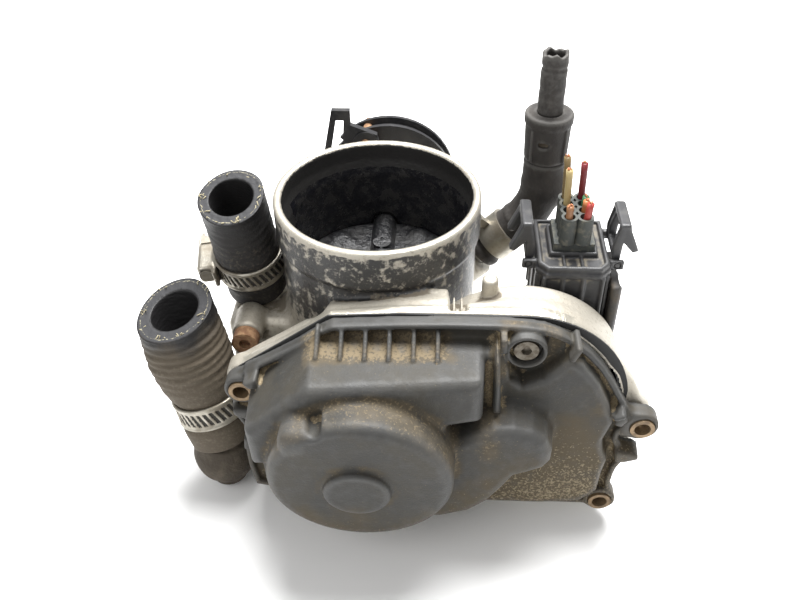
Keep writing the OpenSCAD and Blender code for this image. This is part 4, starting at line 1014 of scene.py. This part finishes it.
def plug(m):
    f = Field((46, -25.2, 68), (80.2, 4.2, 97), 0.42)
    outline_xy = [(51.8, -20.8), (54.6, -24), (71.4, -24), (74.2, -20.8), (74.2, 3), (51.8, 3)]
    d = f.prism_z(outline_xy, 69, 94.5, 0.8)
    rim = [(53.2, -20.2), (55.2, -22.6), (70.8, -22.6), (72.8, -20.2), (72.8, 1.6), (53.2, 1.6)]
    d = cut(d, f.prism_z(rim, 93.4, 97, 0.4), 0.3)
    for x in (60.0, 65.6):
        d = join(d, f.box((x - 0.5, -23.6, 92), (x + 0.5, -16.2, 94.4), 0.3), 0.4)
    d = join(d, f.box((55.6, -17.2, 92), (70.8, -1.0, 95.4), 0.6), 0.4)
    # ribs down the front and the sides
    for x in (53.8, 59.6, 66.0, 72.2):
        d = join(d, f.box((x - 0.6, -24.7, 69.4), (x + 0.6, -22, 91), 0.35), 0.4)
    for x in (51.8, 74.2):
        for y in (-21, -13, -4, 1.5):
            d = join(d, f.box((x - 0.6, y - 0.6, 69.4), (x + 0.6, y + 0.6, 90), 0.35), 0.4)
    lip = [(51.2, -21), (54.4, -24.6), (71.6, -24.6), (74.8, -21), (74.8, 3.4), (51.2, 3.4)]
    d = join(d, np.maximum(f.prism_z(lip, 90.4, 92.4, 0.5), -1), 0.4)
    for x in (47, 74):
        for y in (-19.2, -2.6):
            d = join(d, f.box((x, y, 90.4), (x + 5, y + 1.8, 93.6), 0.4), 0.4)
    for x in (LATCH_X - LATCH_OUT, LATCH_X + LATCH_OUT):
        d = cut(d, f.disc_y((x, LATCH_Z), 1.06, -19.6, 0.2, 0), 0.2)
    d = cut(d, f.box((53.1, -22.4, 60), (73.3, 1.4, 88), 0.3), 0.2)
    d = cut(d, f.box((56.6, -16.2, 80), (69.8, -2.0, 100), 0.3), 0.3)
    f.mesh("plug_body", d, "plug", ["plug_shell"], m["plug"])

    for side, name, node, body in ((-1, "left_clip", "left_latch", "latch_left"),
                                   (1, "right_clip", "right_latch", "latch_right")):
        f = Field((-3, -20, -1.6), (8, 0, 15.4), 0.34)
        d = f.prism_y([(-1.5, 0.9), (1, 0.9), (1.3, 7.2), (4.6, 3.4), (6.4, 4.2), (2.2, 14), (0.2, 14),
                       (-1.5, 6)], -17, -3, 0.5)
        d = cut(d, f.box((-4, -13.6, 3.2), (9, -6.4, 11.6), 0.8), 0.5)
        d = join(d, f.box((-0.6, -17, 12.6), (2.9, -3, 14.1), 0.6), 0.4)
        for y in (-16.2, -3.8):
            cheek = [(-1.6, 1), (-0.2, 1), (1.2, 13.6), (-0.4, 13.6), (-1.9, 6)]
            d = join(d, f.prism_y(cheek, y - 0.7, y + 0.7, 0.4), 0.4)
        d = join(d, f.disc_y((0, 0), 1.0, -19, -1, 0.2), 0)
        d = join(d, f.box((-0.9, -17, 0), (0.9, -3, 2), 0.2), 0.3)
        place = np.diag([float(side), 1, 1, 1])
        place[:3, 3] = (LATCH_X + side * LATCH_OUT, 0, LATCH_Z)
        piece = f.mesh(name, d, body, [node], m["plug"], place=place)
        if side < 0:
            piece.data.flip_normals()

    f = Field((50, -27, 53), (79.6, 2.4, 88.4), 0.5)
    d = f.box((51, -25.9, 54), (76, 1.1, 68), 0.9)
    d = join(d, f.box((53.5, -22, 60), (72.9, 1, 86), 0.7), 0.8)
    wing = f.box((75.4, -24, 54), (78.4, -4, 87), 1.0)
    for y in (-22, -15, -8):
        wing = join(wing, f.box((77.6, y - 0.7, 55), (79.0, y + 0.7, 86), 0.4), 0.5)
    d = join(d, wing, 0.8)
    for x in (54, 59, 64, 69, 74):
        d = join(d, f.box((x - 0.6, -26.3, 54.6), (x + 0.6, 1.5, 67.4), 0.4), 0.5)
    d = cut(d, f.box((55.2, -20.3, 68), (71.2, -0.7, 98), 0.4), 0.4)
    f.mesh("socket_moulding", d, "housing", ["connector_socket"], m["socket"])


def wires(m):
    """Cut wires that lean out of the plug's seals, each with its copper strands at the tip."""
    rng = np.random.RandomState(11)
    plan = {(0, 0): ("peru", 6), (0, 2): ("khaki", 14), (0, 3): ("olive", 16), (1, 0): ("red", 7),
            (1, 1): ("orange", 5), (1, 2): ("green", 4), (1, 3): ("maroon", 14)}
    lean = {"peru": (-0.6, -1.2), "khaki": (-1.0, -0.4), "olive": (-1.6, 0.6), "red": (1.2, -1.0),
            "orange": (0.5, 0.4), "green": (1.0, 0.6), "maroon": (-0.8, 0.2)}
    verts, faces, slots, names = [], [], [], sorted({c for c, _ in plan.values()})
    for (i, j), (colour, tall) in sorted(plan.items()):
        x, y = PLUG[0] + (i - 0.5) * WIRE_PITCH[0], PLUG[1] + (j - 1.5) * WIRE_PITCH[1]
        dx, dy = lean[colour]
        path = []
        for t in np.linspace(0, 1, 10):
            bend = t ** 2 * (1 + 0.3 * math.sin(5 * t))
            path.append((x + dx * bend, y + dy * bend, 97.1 + (9.5 + tall) * t - 0.8 * t))
        before = len(faces)
        strand(verts, faces, path, 1.1, 14)
        slots += [names.index(colour)] * (len(faces) - before)
        tip = np.array(path[-1])
        for _ in range(7):
            start = tip + np.append(rng.uniform(-0.5, 0.5, 2), -0.3)
            out = np.array([rng.uniform(-0.35, 0.35), rng.uniform(-0.35, 0.35), 1.1])
            before = len(faces)
            strand(verts, faces, [start, start + out * 0.5, start + out], 0.16)
            slots += [len(names)] * (len(faces) - before)
    materials = [m["wire_" + c] for c in names] + [m["copper"]]
    mesh_piece("cut_wires", verts, faces, "plug", ["wire_stubs"], materials, slots)


# ---- throttle plate and small hardware


def plate(m):
    f = Field((-30.6, -30.6, 69.6), (30.6, 30.6, 77.6), 0.6)
    rng = np.random.RandomState(5)
    radius = f.about_z()
    d = meet(radius - 29.85, np.abs(f.z - 72) - 0.95 + 0 * radius, 0.3)
    for _ in range(46):
        a, r = rng.uniform(0, 2 * math.pi), 26 * math.sqrt(rng.rand())
        c = (r * math.cos(a), r * math.sin(a))
        if abs(c[0]) < 7.5:
            continue
        size = rng.uniform(1.2, 3.0) * (1.3 if c[1] > 0 else 0.8)
        blob = np.sqrt((f.x - c[0]) ** 2 + (f.y - c[1]) ** 2 + (2.0 * (f.z - 72.7)) ** 2) - size
        d = join(d, meet(blob, 72 - f.z + 0 * blob, 0), 1.4)
    for y in (-12, 12):
        d = cut(d, f.rod((0, y, 60), (0, y, 80), 2.06, 0), 0)
    f.mesh("plate_with_soot", d, "throttle", ["throttle_plate"], m["soot"])


NODE_MATERIALS = {
    "gasket": "cover_gasket shaft_seals",
    "screw": "cover_screws",
    "brass": "cover_bushes motor_pinion",
    "bright": ("motor_can motor_shaft intermediate_axle front_bearing rear_bearing return_spring "
        "quadrant_nut stop_screw stop_locknut coolant_nipple breather_nipple connector_pins"),
    "nylon": "intermediate_gear sector_gear",
    "soot": "throttle_shaft plate_screws",
    "plug": "sensor_wiper",
    "board": "sensor_board terminal_board",
    "quadrant": "cable_quadrant cable_clip",
    "rust": "cable_pin coolant_bolt",
    "steel": "front_clamp_screw rear_clamp_screw spring_clamp",
    "seals": "plug_insert"}
BEVELLED = {"cover_screws": 0.25, "cover_bushes": 0.25, "cable_quadrant": 0.35, "cable_clip": 0.45,
            "quadrant_nut": 0.4, "cable_pin": 0.3, "stop_screw": 0.3, "stop_locknut": 0.3,
            "spring_clamp": 0.2, "front_clamp_screw": 0.3, "rear_clamp_screw": 0.3, "coolant_bolt": 0.5,
            "plug_insert": 0.25}


def dress_nodes(m):
    looks = {name: key for key, names in NODE_MATERIALS.items() for name in names.split()}
    for name, material in looks.items():
        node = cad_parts[name]
        node.data.materials.clear()
        node.data.materials.append(m[material])
        node.data.polygons.foreach_set("material_index", np.zeros(len(node.data.polygons), np.int32))
        if name in BEVELLED:
            bevel = node.modifiers.new("soft_edges", "BEVEL")
            bevel.width = BEVELLED[name] * MM
            bevel.segments = 2
            bevel.limit_method = "ANGLE"
            bevel.angle_limit = math.radians(40)


make_camera()
make_stage()
MATERIALS = make_materials()
gear_cover(MATERIALS)
housing(MATERIALS)
hose(MATERIALS, "front_hose", "coolant_hose_front", FRONT_HOSE, FRONT_PROFILE, inner=8.2, grip_inner=8.62,
     clamp_at=FRONT_CLAMP_AT, tilt_deg=18, bulge=1.0, wrinkles=0.30,
     material=MATERIALS["hose_dusty"], seed=1)
hose(MATERIALS, "rear_hose", "coolant_hose_rear", REAR_HOSE, REAR_PROFILE, inner=7.3, grip_inner=7.72,
     clamp_at=REAR_CLAMP_AT, tilt_deg=9, bulge=0, wrinkles=0.10,
     material=MATERIALS["hose_dark"], seed=2)
clamp(MATERIALS, "front_clamp", "front_clamp_band", FRONT_HOSE, r=11.4, at=FRONT_CLAMP_AT, turn=335)
clamp(MATERIALS, "rear_clamp", "rear_clamp_band", REAR_HOSE, r=11.0, at=REAR_CLAMP_AT, turn=295)
elbow(MATERIALS)
breather(MATERIALS)
plug(MATERIALS)
wires(MATERIALS)
plate(MATERIALS)
dress_nodes(MATERIALS)
